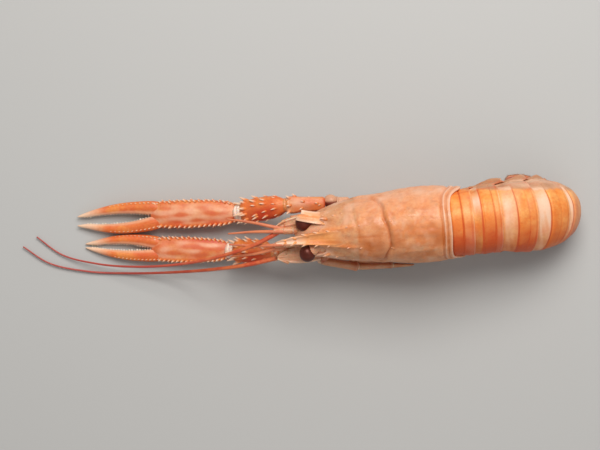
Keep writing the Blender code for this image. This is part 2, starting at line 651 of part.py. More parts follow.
def swimmerets(material):
    """Pairs of small paddles under the abdomen, folded forward inside the curl."""
    starts = ring_starts()
    for side in (-1, 1):
        for i in range(1, 5):
            s = starts[i] + 0.5 * (starts[i + 1] - starts[i])
            point, along, inward = on_back(s)
            belly = keyed(s, list(zip(starts, BELLY_DEPTHS)))
            root = point + inward * (belly - 1.0) + np.array([0.0, side * 5.0, 0.0])
            mid = root + inward * 4.6 - along * 1.6 + (0.0, side * 1.2, 0.0)
            tip = root + inward * 9.0 - along * 5.4
            path = lay([root, mid, tip], roll_share(s))
            tube(f"swimmeret_{side}_{i}", path, SWIMMERET_RADII, material, flat=0.5)


# ---------------------------------------------------------------- claws and legs


def hand_frame(claw):
    """Directions of a hand: ahead, towards the moving finger, and up."""
    heading = math.radians(claw["heading"])
    level = np.array([math.cos(heading), math.sin(heading), 0.0])
    ahead = level * math.cos(HAND_DROP) - (0.0, 0.0, math.sin(HAND_DROP))
    inner = unit(np.cross((0.0, 0.0, 1.0), ahead)) * claw["side"]
    up = unit(np.cross(ahead, inner)) * claw["side"]
    return ahead, inner, np.abs(up[2]) / up[2] * up


def hand_point(claw, u, v, w):
    """A point of the hand: u ahead of the wrist, v towards the moving finger, w up, in millimetres."""
    ahead, inner, up = hand_frame(claw)
    base = np.array(claw["wrist"], float) + np.array([0.0, 0.0, -2.2])
    return base + ahead * u + inner * v + up * w


def palm(claw, name, material):
    """The long four-keeled palm, with a row of thorns on each keel."""
    length = claw["length"] * PALM_SHARE
    ahead, inner, up = hand_frame(claw)
    rings = []
    for t in (0, 0.1, 0.25, 0.42, 0.6, 0.8, 0.94, 1.03):
        half_width = claw["half_width"] * keyed(t, PALM_WIDTHS)
        half_thickness = PALM_HALF_THICKNESS * keyed(t, PALM_THICKNESSES)
        centre = hand_point(claw, t * length, 0, 0)
        rings.append(ellipse(centre, inner, up, half_width, half_thickness, 16, 2.0, 0.07))
    loft(f"{name}_palm", rings, material)
    for i in range(PALM_SPINES):
        t = 0.12 + 0.82 * i / (PALM_SPINES - 1)
        half_width = claw["half_width"] * keyed(t, PALM_WIDTHS)
        half_thickness = PALM_HALF_THICKNESS * keyed(t, PALM_THICKNESSES)
        for row, (v, w) in enumerate(PALM_KEELS):
            root = hand_point(claw, t * length, v * half_width * 0.96, w * half_thickness * 0.96)
            out = inner * v * 0.7 + up * w * 0.7
            tip = root + out * 1.25 + ahead * 0.9
            spine(f"{name}_palm_spine_{row}_{i}", root, tip, PALM_SPINE_ROOT, material, count=4)


def finger(claw, name, moving, material):
    """A curved finger with a hooked tip. The moving one swings out by the claw's gape."""
    palm_length = claw["length"] * PALM_SHARE
    start = palm_length - FINGER_ROOT_DEPTH
    length = claw["length"] - start
    _, inner, up = hand_frame(claw)
    way = 1 if moving else -1
    gape = math.radians(claw["gape"]) if moving else 0.0
    root_v = way * claw["half_width"] * 0.44
    bow = claw["half_width"] * (0.2 if moving else -0.12)
    rings = []
    for t in np.linspace(0, 1, FINGER_STATIONS):
        bend = bow * math.sin(math.pi * min(t * 1.15, 1.0)) - (root_v * 0.75 + 0.6 * way) * t**3
        u, v = turned(length * t, bend, gape)
        taper = keyed(t, FINGER_TAPER)
        centre = hand_point(claw, start + u, root_v + v, -0.4 * t)
        rings.append(ellipse(centre, inner, up, claw["half_width"] * 0.52 * taper, 2.7 * taper, 8))
    loft(f"{name}_{'moving' if moving else 'fixed'}_finger", rings, material)


def thorny(name, start, end, spines, radius, reach, material):
    """Thorns round a limb from start to end, leaning towards its end."""
    axis = unit(end - start)
    side = unit(np.cross(axis, (0, 0, 1)))
    up = np.cross(side, axis)
    for i, (share, degrees) in enumerate(spines):
        out = side * math.cos(math.radians(degrees)) + up * math.sin(math.radians(degrees))
        root = start + (end - start) * share + out * radius
        spine(f"{name}_{i}", root, root + out * reach + axis * 1.15, 0.75, material, count=4)


def arm(claw, name, material):
    """Upper arm and the short thorny forearm of a claw."""
    shoulder, elbow, wrist = (np.array(claw[k], float) for k in ("shoulder", "elbow", "wrist"))
    upper = smooth_path([shoulder, shoulder * 0.55 + elbow * 0.45 + (0, 0, 0.6), elbow], 7)
    tube(f"{name}_upper_arm", upper, radii_along(UPPER_ARM_RADII, 7), material, count=8, flat=0.85)
    fore = [elbow + (wrist - elbow) * share for share, _ in FOREARM_RADII]
    radii = [radius for _, radius in FOREARM_RADII]
    tube(f"{name}_forearm", fore, radii, material, count=10, flat=0.85)
    thorny(f"{name}_forearm_spine", elbow, wrist, FOREARM_SPINES, 3.4, 1.8, material)
    thorny(f"{name}_upper_spine", shoulder, elbow, UPPER_ARM_SPINES, 2.7, 1.5, material)


def claw_arm(claw, name, material):
    arm(claw, name, material)
    palm(claw, name, material)
    finger(claw, name, False, material)
    finger(claw, name, True, material)


def walking_leg(name, joints, pincer, material):
    """A slender leg: thigh, shin and foot with a slight swelling at each joint. The first two pairs
    end in a small pincer."""
    hip, knee, ankle, tip = (np.array(p, float) for p in joints)
    path = smooth_path([hip, hip * 0.45 + knee * 0.55, knee, knee * 0.4 + ankle * 0.6, ankle, tip], 14)
    radii = [LEG_RADIUS * radius for radius in radii_along(LEG_RADII, 14)]
    tube(name, path, radii, material)
    if pincer:
        along = unit(path[-1] - path[-3])
        aside = unit(np.cross(along, (0, 0, 1)))
        root = path[-1] - along * 6.0 + aside * 0.5
        spine(f"{name}_pincer", root, path[-1] - along * 0.6 + aside * 1.3, 0.6, material, count=4)


def walking_legs(material):
    for side, legs in (("right", RIGHT_LEGS), ("left", LEFT_LEGS)):
        for i, joints in enumerate(legs):
            walking_leg(f"leg_{side}_{i + 2}", joints, i < 2, material)


# ---------------------------------------------------------------- the whole animal


def join_all(name):
    """One Boolean union of every piece into one solid, after which the pieces are removed."""
    pieces = bpy.data.collections["pieces"]
    base = bpy.data.objects["carapace"]
    pieces.objects.unlink(base)
    bpy.context.scene.collection.objects.link(base)
    union = base.modifiers.new("join", "BOOLEAN")
    union.operation = "UNION"
    union.operand_type = "COLLECTION"
    union.collection = pieces
    union.solver = "MANIFOLD"
    bpy.context.view_layer.update()
    graph = bpy.context.evaluated_depsgraph_get()
    joined = bpy.data.meshes.new_from_object(base.evaluated_get(graph))
    base.modifiers.clear()
    base.data = joined
    base.name = joined.name = name
    for piece in list(pieces.objects):
        bpy.data.objects.remove(piece)
    bpy.data.collections.remove(pieces)
    return base


def main():
    for old in list(bpy.data.objects):
        bpy.data.objects.remove(old)
    pieces = bpy.data.collections.new("pieces")
    bpy.context.scene.collection.children.link(pieces)
    shell = finish("cooked_shell", SHELL_COLOUR)
    claw_shell = finish("claw_shell", CLAW_COLOUR, 0.34)
    leg_shell = finish("leg_shell", LEG_COLOUR)
    eye_gloss = finish("eye", EYE_COLOUR, 0.12)
    carapace(shell)
    rostrum(shell)
    carapace_spines(shell)
    head(shell, eye_gloss)
    long_feelers(claw_shell)
    jaw_legs(leg_shell)
    abdomen(shell)
    tail_fan(shell)
    swimmerets(leg_shell)
    claw_arm(RIGHT_CLAW, "right_claw", claw_shell)
    claw_arm(LEFT_CLAW, "left_claw", claw_shell)
    walking_legs(leg_shell)
    join_all("langoustine")


main()
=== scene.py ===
"""The looks of a cooked langoustine that lies on its belly with its tail curled under it.

All shapes are worked out in millimetres. The trunk is drawn in its own upright frame, with +X from
head to tail, +Y to the animal's right and +Z up from its belly, and lay() rolls and turns it to where
it lies. Limbs and feelers are routed in the resting frame, where z = 0 is the surface under it.
"""

import math

import bmesh
import bpy
import numpy as np
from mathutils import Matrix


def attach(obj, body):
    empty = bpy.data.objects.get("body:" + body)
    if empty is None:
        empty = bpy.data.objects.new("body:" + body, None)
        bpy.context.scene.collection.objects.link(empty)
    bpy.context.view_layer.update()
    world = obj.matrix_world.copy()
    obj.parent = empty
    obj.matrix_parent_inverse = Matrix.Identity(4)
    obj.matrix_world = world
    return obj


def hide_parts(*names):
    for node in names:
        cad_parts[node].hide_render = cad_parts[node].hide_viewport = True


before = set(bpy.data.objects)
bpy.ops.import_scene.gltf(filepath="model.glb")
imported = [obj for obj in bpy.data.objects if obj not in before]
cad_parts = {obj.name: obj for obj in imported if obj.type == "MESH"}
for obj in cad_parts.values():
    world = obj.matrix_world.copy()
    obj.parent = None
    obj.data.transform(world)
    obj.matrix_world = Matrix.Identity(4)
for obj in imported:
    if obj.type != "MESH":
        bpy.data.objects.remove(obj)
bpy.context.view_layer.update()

MM = 0.001

# How the trunk lies, and the point of the resting frame under the middle of its bounding box.
TRUNK_ROLL = math.radians(12)
TRUNK_YAW = math.radians(5)
ROLL_AXIS_Z = 18.0
YAW_PIVOT_X = 35.0
FOOTPRINT_MIDDLE = (-15.0, -1.6)

# Carapace, the shell of head and thorax: x, half width, height of the back, height of the belly.
CARAPACE_SECTIONS = (
    (-9.0, 8.0, 30.6, 13.0),
    (-2.0, 10.1, 32.6, 10.6),
    (8.0, 11.8, 34.6, 8.8),
    (15.0, 12.5, 35.5, 8.6),
    (26.0, 13.7, 36.9, 8.8),
    (34.0, 13.4, 37.0, 10.2),
    (38.5, 12.5, 36.3, 12.4),
)
CARAPACE_FRONT_X = CARAPACE_SECTIONS[0][0]
CARAPACE_REAR_X = CARAPACE_SECTIONS[-1][0]
WIDEST_SHARE = 0.42  # height of the widest level, as a share of the section's height
# The grooves and margins below are keyed by the angle round the shell, in degrees from the back.
CERVICAL_GROOVE = (
    (0, 16.3), (12, 15.8), (26, 14.8), (50, 14.3), (66, 12.6), (82, 9.2), (98, 3.5), (112, -4.0), (180, -4.0),
)
# How much further back the groove lies on the left, and where and how broadly, in degrees.
LEFT_KINK, LEFT_KINK_DEGREES, LEFT_KINK_WIDTH = 1.2, -22, 13
# How far the rear and the front edge lie behind a straight cut.
REAR_SWEEP = ((0, 0.0), (48, 0.2), (60, 0.9), (72, 2.7), (85, 4.8), (95, 4.6), (125, 0.6), (180, -1.5))
FRONT_SWEEP = ((0, 0.0), (14, 0.2), (36, 2.6), (56, 0.8), (70, -1.6), (86, 0.4), (120, 2.6), (180, 3.5))
FRONT_PART_X = 5.4  # where the duller front part of the carapace ends
# How the shell turns in at its front and rear edge, in steps: how far outward, and how far along x.
FRONT_TURN = ((-0.9, 1.6), (-0.5, 0.25))
REAR_TURN = ((-0.55, -0.1), (-0.9, -1.0), (-1.1, -5.0))

# Thorns of the carapace, on both sides: x, degrees round from the middle of the back, and size.
CARAPACE_THORNS = (
    (-6.4, 43, 1.6), (-2.4, 45, 0.8), (2.0, 17, 0.8), (6.4, 18, 0.7), (17.4, 20, 0.7),
    (-8.6, 69, 1.6), (-5.0, 51, 0.5), (-3.4, 57, 0.45), (0.4, 47, 0.5), (-1.2, 60, 0.4),
    (3.4, 53, 0.4), (-4.6, 64, 0.5), (17.0, 50, 0.45),
)
# Redder patches of the carapace: x, degrees round, length, width in degrees, and strength.
ORANGE_PATCHES = (
    (10.0, -12, 4.2, 15, 0.75),
    (18.4, -6, 2.0, 14, 0.75),
    (27.0, 3, 7.0, 5, 0.4),
    (33.0, -8, 5.0, 13, 0.65),
    (24.0, -34, 9.0, 10, 0.35),
)

# The pointed corner of the front edge outside each eye: degrees round, length, and how far it stands off.
ORBIT_CORNER_DEGREES, ORBIT_CORNER_LENGTH = 53.0, 4.6
ORBIT_CORNER_LIFT = 0.5

# The plate over the right eye: points across its root in the carapace, its middle and its notched end.
BROW_ROOT = ((-6.0, 4.4, 28.9), (-6.0, 6.7, 26.8), (-6.0, 8.0, 23.6))
BROW_MIDDLE = ((-10.8, 5.5, 29.8), (-9.9, 7.4, 29.4), (-9.3, 8.8, 27.0))
BROW_END = ((-16.3, 6.8, 28.0), (-15.9, 8.1, 28.3), (-14.4, 9.0, 28.3), (-14.0, 10.3, 27.2))

ROSTRUM_ROOT_X, ROSTRUM_TIP_X = 3.0, -24.0
ROSTRUM_HALF_WIDTH = 3.2
ROSTRUM_HEIGHTS = ((ROSTRUM_TIP_X, 31.8), (-16.0, 30.6), (-8.0, 31.0), (-3.0, 31.9), (ROSTRUM_ROOT_X, 31.8))
# The teeth on each edge of the rostrum: x and size.
ROSTRUM_TEETH = ((-20.8, 0.6), (-17.4, 0.85), (-13.0, 1.0), (-8.6, 1.0), (-4.4, 0.8), (-0.6, 0.6))

# Each eye is a short kidney across the end of its stalk: the middles of the right and left one, and half
# their size along x, y and z. The left one is raised a little.
EYE_MIDDLES = {1: (-13.7, 5.2, 25.9), -1: (-13.2, 5.7, 28.0)}
EYE_HALF_SIZE = (2.85, 3.05, 2.6)
EYE_TAIL = {1: 0.75, -1: 0.0}  # how much longer its rear half is drawn out along the stalk
STALK_RADII = ((0, 1.6), (0.3, 1.5), (0.6, 1.7), (0.85, 2.1), (1, 1.8))  # from the head to the eye

# The block between beak and mouth: x, height of its middle, half width and half height.
HEAD_BLOCK = (
    (-3.0, 22.6, 8.2, 7.2),
    (-8.0, 22.8, 7.8, 6.6),
    (-11.5, 22.9, 6.8, 5.6),
    (-14.5, 22.6, 5.2, 4.2),
    (-17.0, 22.4, 3.4, 2.6),
)
# Joints on the right, and the near and far radius of each segment, for the feelers' feet and the jaw legs.
SHORT_FEELER_FOOT = ((-13.0, 2.3, 24.2), (-17.5, 2.4, 24.4), (-21.0, 2.5, 24.2), (-24.5, 2.6, 23.8))
SHORT_FOOT_RADII = ((1.5, 1.4), (1.25, 1.25), (1.1, 1.0))
LONG_FEELER_FOOT = ((-10.0, 6.0, 21.0), (-14.0, 6.4, 20.6), (-18.0, 6.2, 21.0), (-21.0, 5.6, 21.6))
LONG_FOOT_RADII = ((2.8, 2.6), (2.3, 2.1), (1.8, 1.5))
JAW_LEG = ((3, 4.4, 11.6), (-6, 5.2, 10.4), (-13, 4.6, 12.2), (-17, 3.2, 15.4), (-14.0, 2.2, 17.8))
JAW_LEG_RADII = ((1.9, 1.9), (1.6, 1.5), (1.3, 1.2), (1.0, 0.6))

# The leaf-shaped scale beside each feeler. The right one leans in towards the beak, with the feeler's foot.
SCALE_LENGTH = 15.5
SCALE_ROOT_X, SCALE_ROOT_HEIGHT = -8.6, 23.6
SCALE_ACROSS = {1: (5.6, 3.4), -1: (6.9, 7.4)}  # how far out its middle lies, at its root and at its tip
SCALE_HALF_WIDTH = {1: 2.6, -1: 3.0}
FOOT_LEAN = {1: 1.3, -1: 0.0}  # how far each long feeler's foot leans in

# Abdomen: for each of the six rings, the lengths of the pale front facet and of the coloured shell behind it.
# Where there are seven values, they are for the rings' starts and the end of the last one.
FACET_LENGTHS = (0.0, 2.7, 5.4, 5.0, 2.0, 1.5)
SHELL_LENGTHS = (9.0, 7.6, 8.2, 9.2, 9.7, 10.6)
RING_HALF_WIDTHS = (11.4, 12.0, 12.1, 11.8, 10.8, 9.2, 6.0)
RING_ARCH_HEIGHTS = (9.8, 10.4, 10.6, 10.6, 10.2, 8.4, 3.4)
PLEURON_DEPTHS = (13.0, 16.2, 16.4, 16.0, 14.2, 11.0, 5.6)
BELLY_DEPTHS = (12.4, 12.8, 12.8, 12.2, 11.0, 9.2, 4.8)
RING_START_HEADINGS = (0.0, 3.0, 8.0, 21.0, 44.0, 86.0, 154.0)  # degrees below level
PLEURON_LEANS = (0.0, 4.0, 6.5, 5.0, 3.0, 1.5, 0.0)  # how far the side lobes' edges lean to the rear
LEAST_LEAN = 0.7  # share of it that is left in the notches between the lobes
PLEURON_FLARE = {1: 2.3, -1: 0.4}  # how far the side lobes' edges stand out, to the right and to the left
FIRST_LOBE_FLARE = 0.2  # share of that flare on the small first lobe
LEFT_BULGES = (0.0, 0.0, 0.3, 2.0, 2.3, 1.4, 0.2)  # how much further the left side reaches
LOBE_OUTLINE = (  # how far down the side lobe hangs, along the ring
    (0, 0.62), (0.12, 0.76), (0.3, 0.92), (0.5, 1.0), (0.7, 0.96), (0.86, 0.8), (0.96, 0.56), (1, 0.42),
)
PLEURON_FROM = 0.70  # where the side lobe starts across the ring, from 0 at the back to 1 at its edge
HIDDEN_LENGTH = 1.6  # of each ring, under the one before it
STEP_HEIGHT = 0.8  # from each facet up to the ring before it
LEFT_STEP_LOSS = 0.55  # share of the step that is missing on the left flank
RING_THICKNESS, LOBE_THINNING = 0.42, 0.22
RING_ROWS, RING_COLUMNS = 74, 131
# For each ring, the place of its cross groove along the shell and the groove's strength.
CROSS_GROOVES = ((0.56, 1.0), (0.66, 0.7), (0.6, 0.3), (0.55, 0.2), (0.5, 0.2), (0.5, 0.2))
# The white of each ring's facet: its place across the ring, its width and its strength.
WHITE_PATCHES = (
    (0.36, 0.14, 0.0), (0.36, 0.14, 1.0), (0.14, 0.27, 0.9),
    (0.14, 0.27, 1.0), (0.14, 0.27, 1.0), (0.14, 0.27, 1.0),
)
WHITE_STREAKS = (0.0, 0.0, 0.4, 0.55, 0.55, 0.55)  # how strongly the rest of the facet is streaked white
LEFT_FLANK_RED_AND_SHADE = (0.95, 0.95, 0.8, 0.62, 0.8, 0.8)  # how much redder and darker each ring is on its left flank: partly red shell, partly painted shade
MOTTLING = (1.0, 1.0, 1.0, 0.55, 1.0, 1.0)  # how strongly each ring is mottled
SHOULDER = (10.6, 11.9)  # how far to the right at rest the dull shell of the lobes starts, and is full; its dullness is partly painted shade
ABDOMEN_START = (37.6, 35.6)
TAIL_FAN_LENGTH = 21.0
# Radii along a swimmeret's blade.
PADDLE_RADII = ((0, 0.9), (0.35, 0.8), (0.5, 1.3), (0.75, 1.7), (0.93, 1.1), (1, 0.4))
FAN_SPREAD = {1: 11.6, -1: 9.2}  # how far out the outer leaf's end lies, to the right and to the left

RIGHT_CLAW = {
    "side": 1,
    "shoulder": (3.0, 6.5, 12.5),
    "elbow": (-20.5, 5.6, 14.0),
    "wrist": (-36.5, 3.0, 7.6),
    "length": 61.0,
    "heading": 181.5,
    "half_width": 5.2,
    "gape": 6.0,
}
LEFT_CLAW = {
    "side": -1,
    "shoulder": (3.0, -8.5, 12.0),
    "elbow": (-25.0, -11.6, 10.5),
    "wrist": (-39.5, -11.0, 6.4),
    "length": 55.0,
    "heading": 179.0,
    "half_width": 4.7,
    "gape": 3.0,
}
HAND_SLOPE = 3.4  # how many degrees the hands point down
HAND_BELOW_WRIST = 2.2
PALM_SHARE = 0.53  # of the hand's length
PALM_HALF_THICKNESS = 3.7
PALM_KEEL_DEPTH = 0.13
PALM_WIDTHS = ((0, 0.52), (0.12, 0.8), (0.4, 1.0), (0.8, 1.02), (0.94, 0.94), (1.03, 0.6))
PALM_THICKNESSES = ((0, 0.6), (0.15, 0.86), (0.45, 1.0), (0.8, 0.95), (0.94, 0.82), (1.03, 0.45))
FINGER_ROOT_DEPTH = 3.5  # how far the fingers reach back into the palm
FINGER_TAPER = ((0, 0.9), (0.1, 1.0), (0.3, 0.88), (0.7, 0.56), (0.92, 0.28), (1, 0.08))
FOREARM_RADII = ((-0.02, 2.2), (0.12, 3.6), (0.4, 4.4), (0.75, 4.3), (0.92, 3.9), (0.97, 3.2))
ROOT_KNOB_RADIUS, ROOT_KNOB_OUTWARD = 2.45, 0.8  # the round knob at the arm's root
UPPER_ARM_RADII = ((0, 2.6), (0.25, 2.6), (0.75, 3.0), (0.92, 3.2), (1, 2.3))
# Thorns of the upper arm: share of its length, degrees round it, and size.
UPPER_ARM_THORNS = (
    (0.9, 40, 1.3), (0.9, 95, 1.2), (0.9, 140, 1.3), (0.7, 70, 0.9), (0.72, 120, 0.9),
    (0.5, 85, 0.8), (0.82, 10, 1.0), (0.45, 100, 0.6), (0.6, 30, 0.7), (0.6, 150, 0.7),
)
ARM_FLATNESS = 0.85  # height of the arm's segments, as a share of their width
KEEL_ANGLES = (38, 142, 218, 322)  # degrees round a hand, from the moving finger's side

RIGHT_LEGS = (
    ((6.0, 3.6, 12.6), (-2.5, 4.6, 9.0), (3.0, 6.2, 4.2), (17.5, 6.6, 0.8)),
    ((13.5, 4.0, 12.0), (5.5, 7.2, 6.4), (14.0, 8.8, 2.8), (30.0, 10.6, 0.8)),
    ((21.5, 4.2, 12.0), (31.5, 10.0, 7.2), (25.5, 7.6, 2.8), (15.0, 3.4, 0.8)),
    ((29.0, 4.2, 12.6), (42.0, 8.8, 8.4), (35.0, 7.6, 2.6), (24.0, 4.6, 0.8)),
)
LEFT_LEGS = (
    ((6.0, -5.2, 11.8), (-7.6, -14.6, 8.6), (6.0, -16.8, 4.6), (27.0, -16.2, 0.8)),
    ((13.5, -5.0, 11.2), (4.0, -14.2, 4.6), (15.0, -15.2, 2.2), (30.0, -12.8, 0.8)),
    ((21.5, -5.0, 11.2), (33.0, -12.6, 6.8), (26.0, -13.0, 2.4), (14.0, -10.0, 0.8)),
    ((29.0, -4.8, 11.8), (42.0, -8.0, 8.4), (36.0, -9.4, 2.6), (25.0, -7.0, 0.8)),
)
LEG_RADIUS = 1.3
# Radii of a leg's five segments, each at its near and far end, as shares of LEG_RADIUS.
LEG_TAPER = (1.6, 1.35, 1.0, 1.06, 0.84, 0.95, 0.78, 0.6, 0.5, 0.14)
FIRST_LEFT_LEG_STOUTNESS = 1.3  # from its third segment on
LEG_BRISTLES = 60

LEFT_FEELER = (
    (-20.0, -12.6, 19.6),
    (-33.0, -15.8, 16.8),
    (-47.0, -17.8, 11.0),
    (-62.0, -19.0, 4.0),
    (-78.0, -19.4, 0.8),
    (-94.0, -18.6, 0.8),
    (-108.0, -15.4, 0.8),
    (-117.0, -9.6, 0.8),
)
RIGHT_FEELER = (
    (-20.0, -2.6, 24.0),
    (-31.0, -8.6, 22.4),
    (-44.0, -13.0, 17.4),
    (-58.0, -15.8, 11.4),
    (-74.0, -16.9, 6.4),
    (-90.0, -15.8, 2.6),
    (-103.0, -12.4, 0.8),
    (-112.0, -6.0, 0.8),
)
FEELER_RADII = ((0, 0.9), (0.3, 0.6), (0.6, 0.42), (1, 0.252))

BONE_SIDES = 24  # points round each hard segment of a limb

CAMERA_HEIGHT, CAMERA_LENS = 0.83, 135  # in metres and millimetres
FLOOR_COLOUR, FLOOR_ROUGHNESS = (0.44, 0.425, 0.40, 1), 0.6
SKY_COLOUR, SKY_STRENGTH = (0.95, 0.97, 1.0, 1), 0.38
# Name, place and size in metres, and power.
LAMPS = (("key", (0.09, 0.38, 0.62), 0.46, 5.5), ("fill", (0.25, -0.50, 0.55), 0.60, 0.5))

chance = np.random.default_rng(11)


# ---------------------------------------------------------------- curves and frames


def keyed(x, keys):
    """A smooth curve through (position, value) keys, read at one position or at many."""
    at, value = np.array(keys, float).T
    slope = np.gradient(value, at)
    i = np.clip(np.searchsorted(at, x) - 1, 0, len(at) - 2)
    span = at[i + 1] - at[i]
    t = np.clip((x - at[i]) / span, 0.0, 1.0)
    rise = value[i + 1] - value[i]
    bend = span * t * (1 - t) * (slope[i] * (1 - t) - slope[i + 1] * t)
    return value[i] + rise * t * t * (3 - 2 * t) + bend


def smooth_path(points, steps):
    """Points along a smooth curve through the given ones."""
    points = np.array(points, float)
    gaps = np.linalg.norm(np.diff(points, axis=0), axis=1)
    along = np.concatenate([[0.0], np.cumsum(gaps)])
    places = np.linspace(0.0, along[-1], steps)
    return np.stack([keyed(places, list(zip(along, points[:, axis]))) for axis in range(3)], -1)


def unit(v):
    """The vector, or each row of vectors, at length 1."""
    v = np.asarray(v, float)
    return v / np.linalg.norm(v, axis=-1, keepdims=True)


def turned(a, b, angle):
    """The pair of coordinates (a, b) turned about zero, from a towards b."""
    return a * np.cos(angle) - b * np.sin(angle), a * np.sin(angle) + b * np.cos(angle)


def cos_sin(degrees):
    """Cosine and sine of an angle, or of many, in degrees."""
    return np.cos(np.radians(degrees)), np.sin(np.radians(degrees))


def mirrored(points, side):
    """Points of the animal's right side, or for side -1 their mirror images."""
    return [(x, side * y, z) for x, y, z in points]


def lay(points, share=1.0):
    """Rolls and turns points of the upright trunk into the resting frame. share is the share of roll."""
    x, y, z = np.moveaxis(np.asarray(points, float), -1, 0)
    y, z = turned(y, z - ROLL_AXIS_Z, TRUNK_ROLL * share)
    x, y = turned(x - YAW_PIVOT_X, y, TRUNK_YAW)
    return np.stack([x + YAW_PIVOT_X, y, z + ROLL_AXIS_Z], -1)


def hump(x, middle, width):
    """A bell of height 1."""
    return np.exp(-(((x - middle) / width) ** 2))


def ramp(x, low, high):
    """0 below low and 1 above high, smooth between."""
    t = np.clip((x - low) / (high - low), 0.0, 1.0)
    return t * t * (3 - 2 * t)


def waves(points, size, seed):
    """Soft uneven relief between -1 and 1 with lumps of about the given size, in millimetres."""
    draw = np.random.default_rng(seed)
    total = 0.0
    for _ in range(7):
        direction = unit(draw.normal(size=3)) * 2 * math.pi / (size * draw.uniform(0.7, 1.6))
        total = total + np.sin(np.asarray(points) @ direction + draw.uniform(0, 6.28))
    return total / 4.0


# ---------------------------------------------------------------- meshes


class Skin:
    """Gathers closed surfaces into one piece. Its materials read three marks at each point: pale, for cream
    tips and folds and in places painted highlight, deep, for redder shell and in places painted shade, and
    tan, for dull shell and in places painted shade."""

    def __init__(self):
        self.points = []
        self.faces = []
        self.pale = []
        self.deep = []
        self.tan = []
        self.count = 0

    def add(self, points, faces, pale=0.0, deep=0.0, tan=0.0):
        """Adds one closed surface. Each mark is one value, or one for each point."""
        shape = np.asarray(points).shape[:-1]
        self.points.append(np.reshape(points, (-1, 3)))
        self.pale.append(np.broadcast_to(pale, shape).reshape(-1))
        self.deep.append(np.broadcast_to(deep, shape).reshape(-1))
        self.tan.append(np.broadcast_to(tan, shape).reshape(-1))
        self.faces += [[int(i) + self.count for i in face] for face in faces]
        self.count += len(self.points[-1])

    def loft(self, rings, pale=0.0, deep=0.0, tan=0.0):
        """A closed skin over rings of equal point count, with a fan at each end."""
        rings = np.array(rings, float)
        rows, columns = rings.shape[:2]
        faces = list(grid_faces(rows, columns, True))
        first, last = rows * columns, rows * columns + 1
        base = (rows - 1) * columns
        for i in range(columns):
            j = (i + 1) % columns
            faces.append((j, i, first))
            faces.append((base + i, base + j, last))
        ends = np.array([rings[0].mean(axis=0), rings[-1].mean(axis=0)])
        points = np.concatenate([rings.reshape(-1, 3), ends])
        marks = [np.broadcast_to(mark, (rows, columns)) for mark in (pale, deep, tan)]
        self.add(points, faces, *(np.append(m.reshape(-1), (m[0].mean(), m[-1].mean())) for m in marks))

    def slab(self, top, bottom, pale=0.0, deep=0.0, tan=0.0):
        """A thin closed shell between two grids of points of the same shape."""
        rows, columns = top.shape[:2]
        count = rows * columns
        faces = [list(f) for f in grid_faces(rows, columns, False)]
        faces += [[i + count for i in reversed(f)] for f in grid_faces(rows, columns, False)]
        edge = list(range(columns))
        edge += [r * columns + columns - 1 for r in range(1, rows)]
        edge += [(rows - 1) * columns + c for c in range(columns - 2, -1, -1)]
        edge += [r * columns for r in range(rows - 2, 0, -1)]
        for a, b in zip(edge, edge[1:] + edge[:1]):
            faces.append([b, a, a + count, b + count])
        points = np.concatenate([top.reshape(-1, 3), bottom.reshape(-1, 3)])
        marks = [np.broadcast_to(mark, (rows, columns)).reshape(-1) for mark in (pale, deep, tan)]
        self.add(points, faces, *(np.tile(mark, 2) for mark in marks))

    def thorn(self, root, tip, radius, sides=8, pale_from=0.25, deep=0.0):
        """A thorn or bead that flares at its root and is cream at its tip."""
        root, tip = np.array(root, float), np.array(tip, float)
        way = tip - root
        side, up = across(unit(way))
        profile = ((-0.35, 1.2), (0.0, 1.1), (0.3, 0.8), (0.62, 0.52), (0.88, 0.24), (1.0, 0.07))
        rings = [oval(root + way * t, side, up, radius * r, radius * r, sides) for t, r in profile]
        pale = [[min(max((t - pale_from) / 0.45, 0.0), 1.0)] * sides for t, _ in profile]
        self.loft(rings, pale, deep)

    def hairs(self, roots, tips, radius):
        """Fine three-sided bristles from roots to tips."""
        roots, tips = np.array(roots, float), np.array(tips, float)
        side, up = across(unit(tips - roots))
        corners = [tips]
        for angle in (0.0, 2.094, 4.189):
            corners.append(roots + (side * math.cos(angle) + up * math.sin(angle)) * radius)
        points = np.stack(corners, 1)
        faces = []
        for k in range(len(roots)):
            for face in ((0, 1, 2), (0, 2, 3), (0, 3, 1), (3, 2, 1)):
                faces.append([4 * k + i for i in face])
        self.add(points, faces)

    def piece(self, name, material, slot):
        """Makes the object, in metres over its footprint's middle, and says what it is part of."""
        points = np.concatenate(self.points)
        points[:, 2] = np.maximum(points[:, 2], 0.02)
        points = (points - (*FOOTPRINT_MIDDLE, 0.0)) * MM
        mesh = bpy.data.meshes.new(name)
        mesh.from_pydata(points.tolist(), [], self.faces)
        for mark, values in (("pale", self.pale), ("deep", self.deep), ("tan", self.tan)):
            kept = mesh.attributes.new(mark, "FLOAT", "POINT")
            kept.data.foreach_set("value", np.concatenate(values).astype(np.float32))
        bm = bmesh.new()
        bm.from_mesh(mesh)
        bmesh.ops.recalc_face_normals(bm, faces=bm.faces)
        bm.to_mesh(mesh)
        bm.free()
        mesh.materials.append(material)
        mesh.shade_smooth()
        made = bpy.data.objects.new(name, mesh)
        bpy.context.scene.collection.objects.link(made)
        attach(made, "root")
        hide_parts("langoustine")
        return made


def grid_faces(rows, columns, wrap):
    """Four-cornered faces between the points of a grid. wrap joins its last column to its first."""
    across_count = columns if wrap else columns - 1
    r, c = np.meshgrid(np.arange(rows - 1), np.arange(across_count), indexing="ij")
    near, far = r * columns + c, r * columns + (c + 1) % columns
    return np.stack([near, far, far + columns, near + columns], -1).reshape(-1, 4)


def across(direction):
    """Two directions at right angles to the given one, or ones: to its side, and up."""
    side = unit(np.cross(direction, (0.02, 0.01, 1.0)))
    return side, np.cross(side, direction)


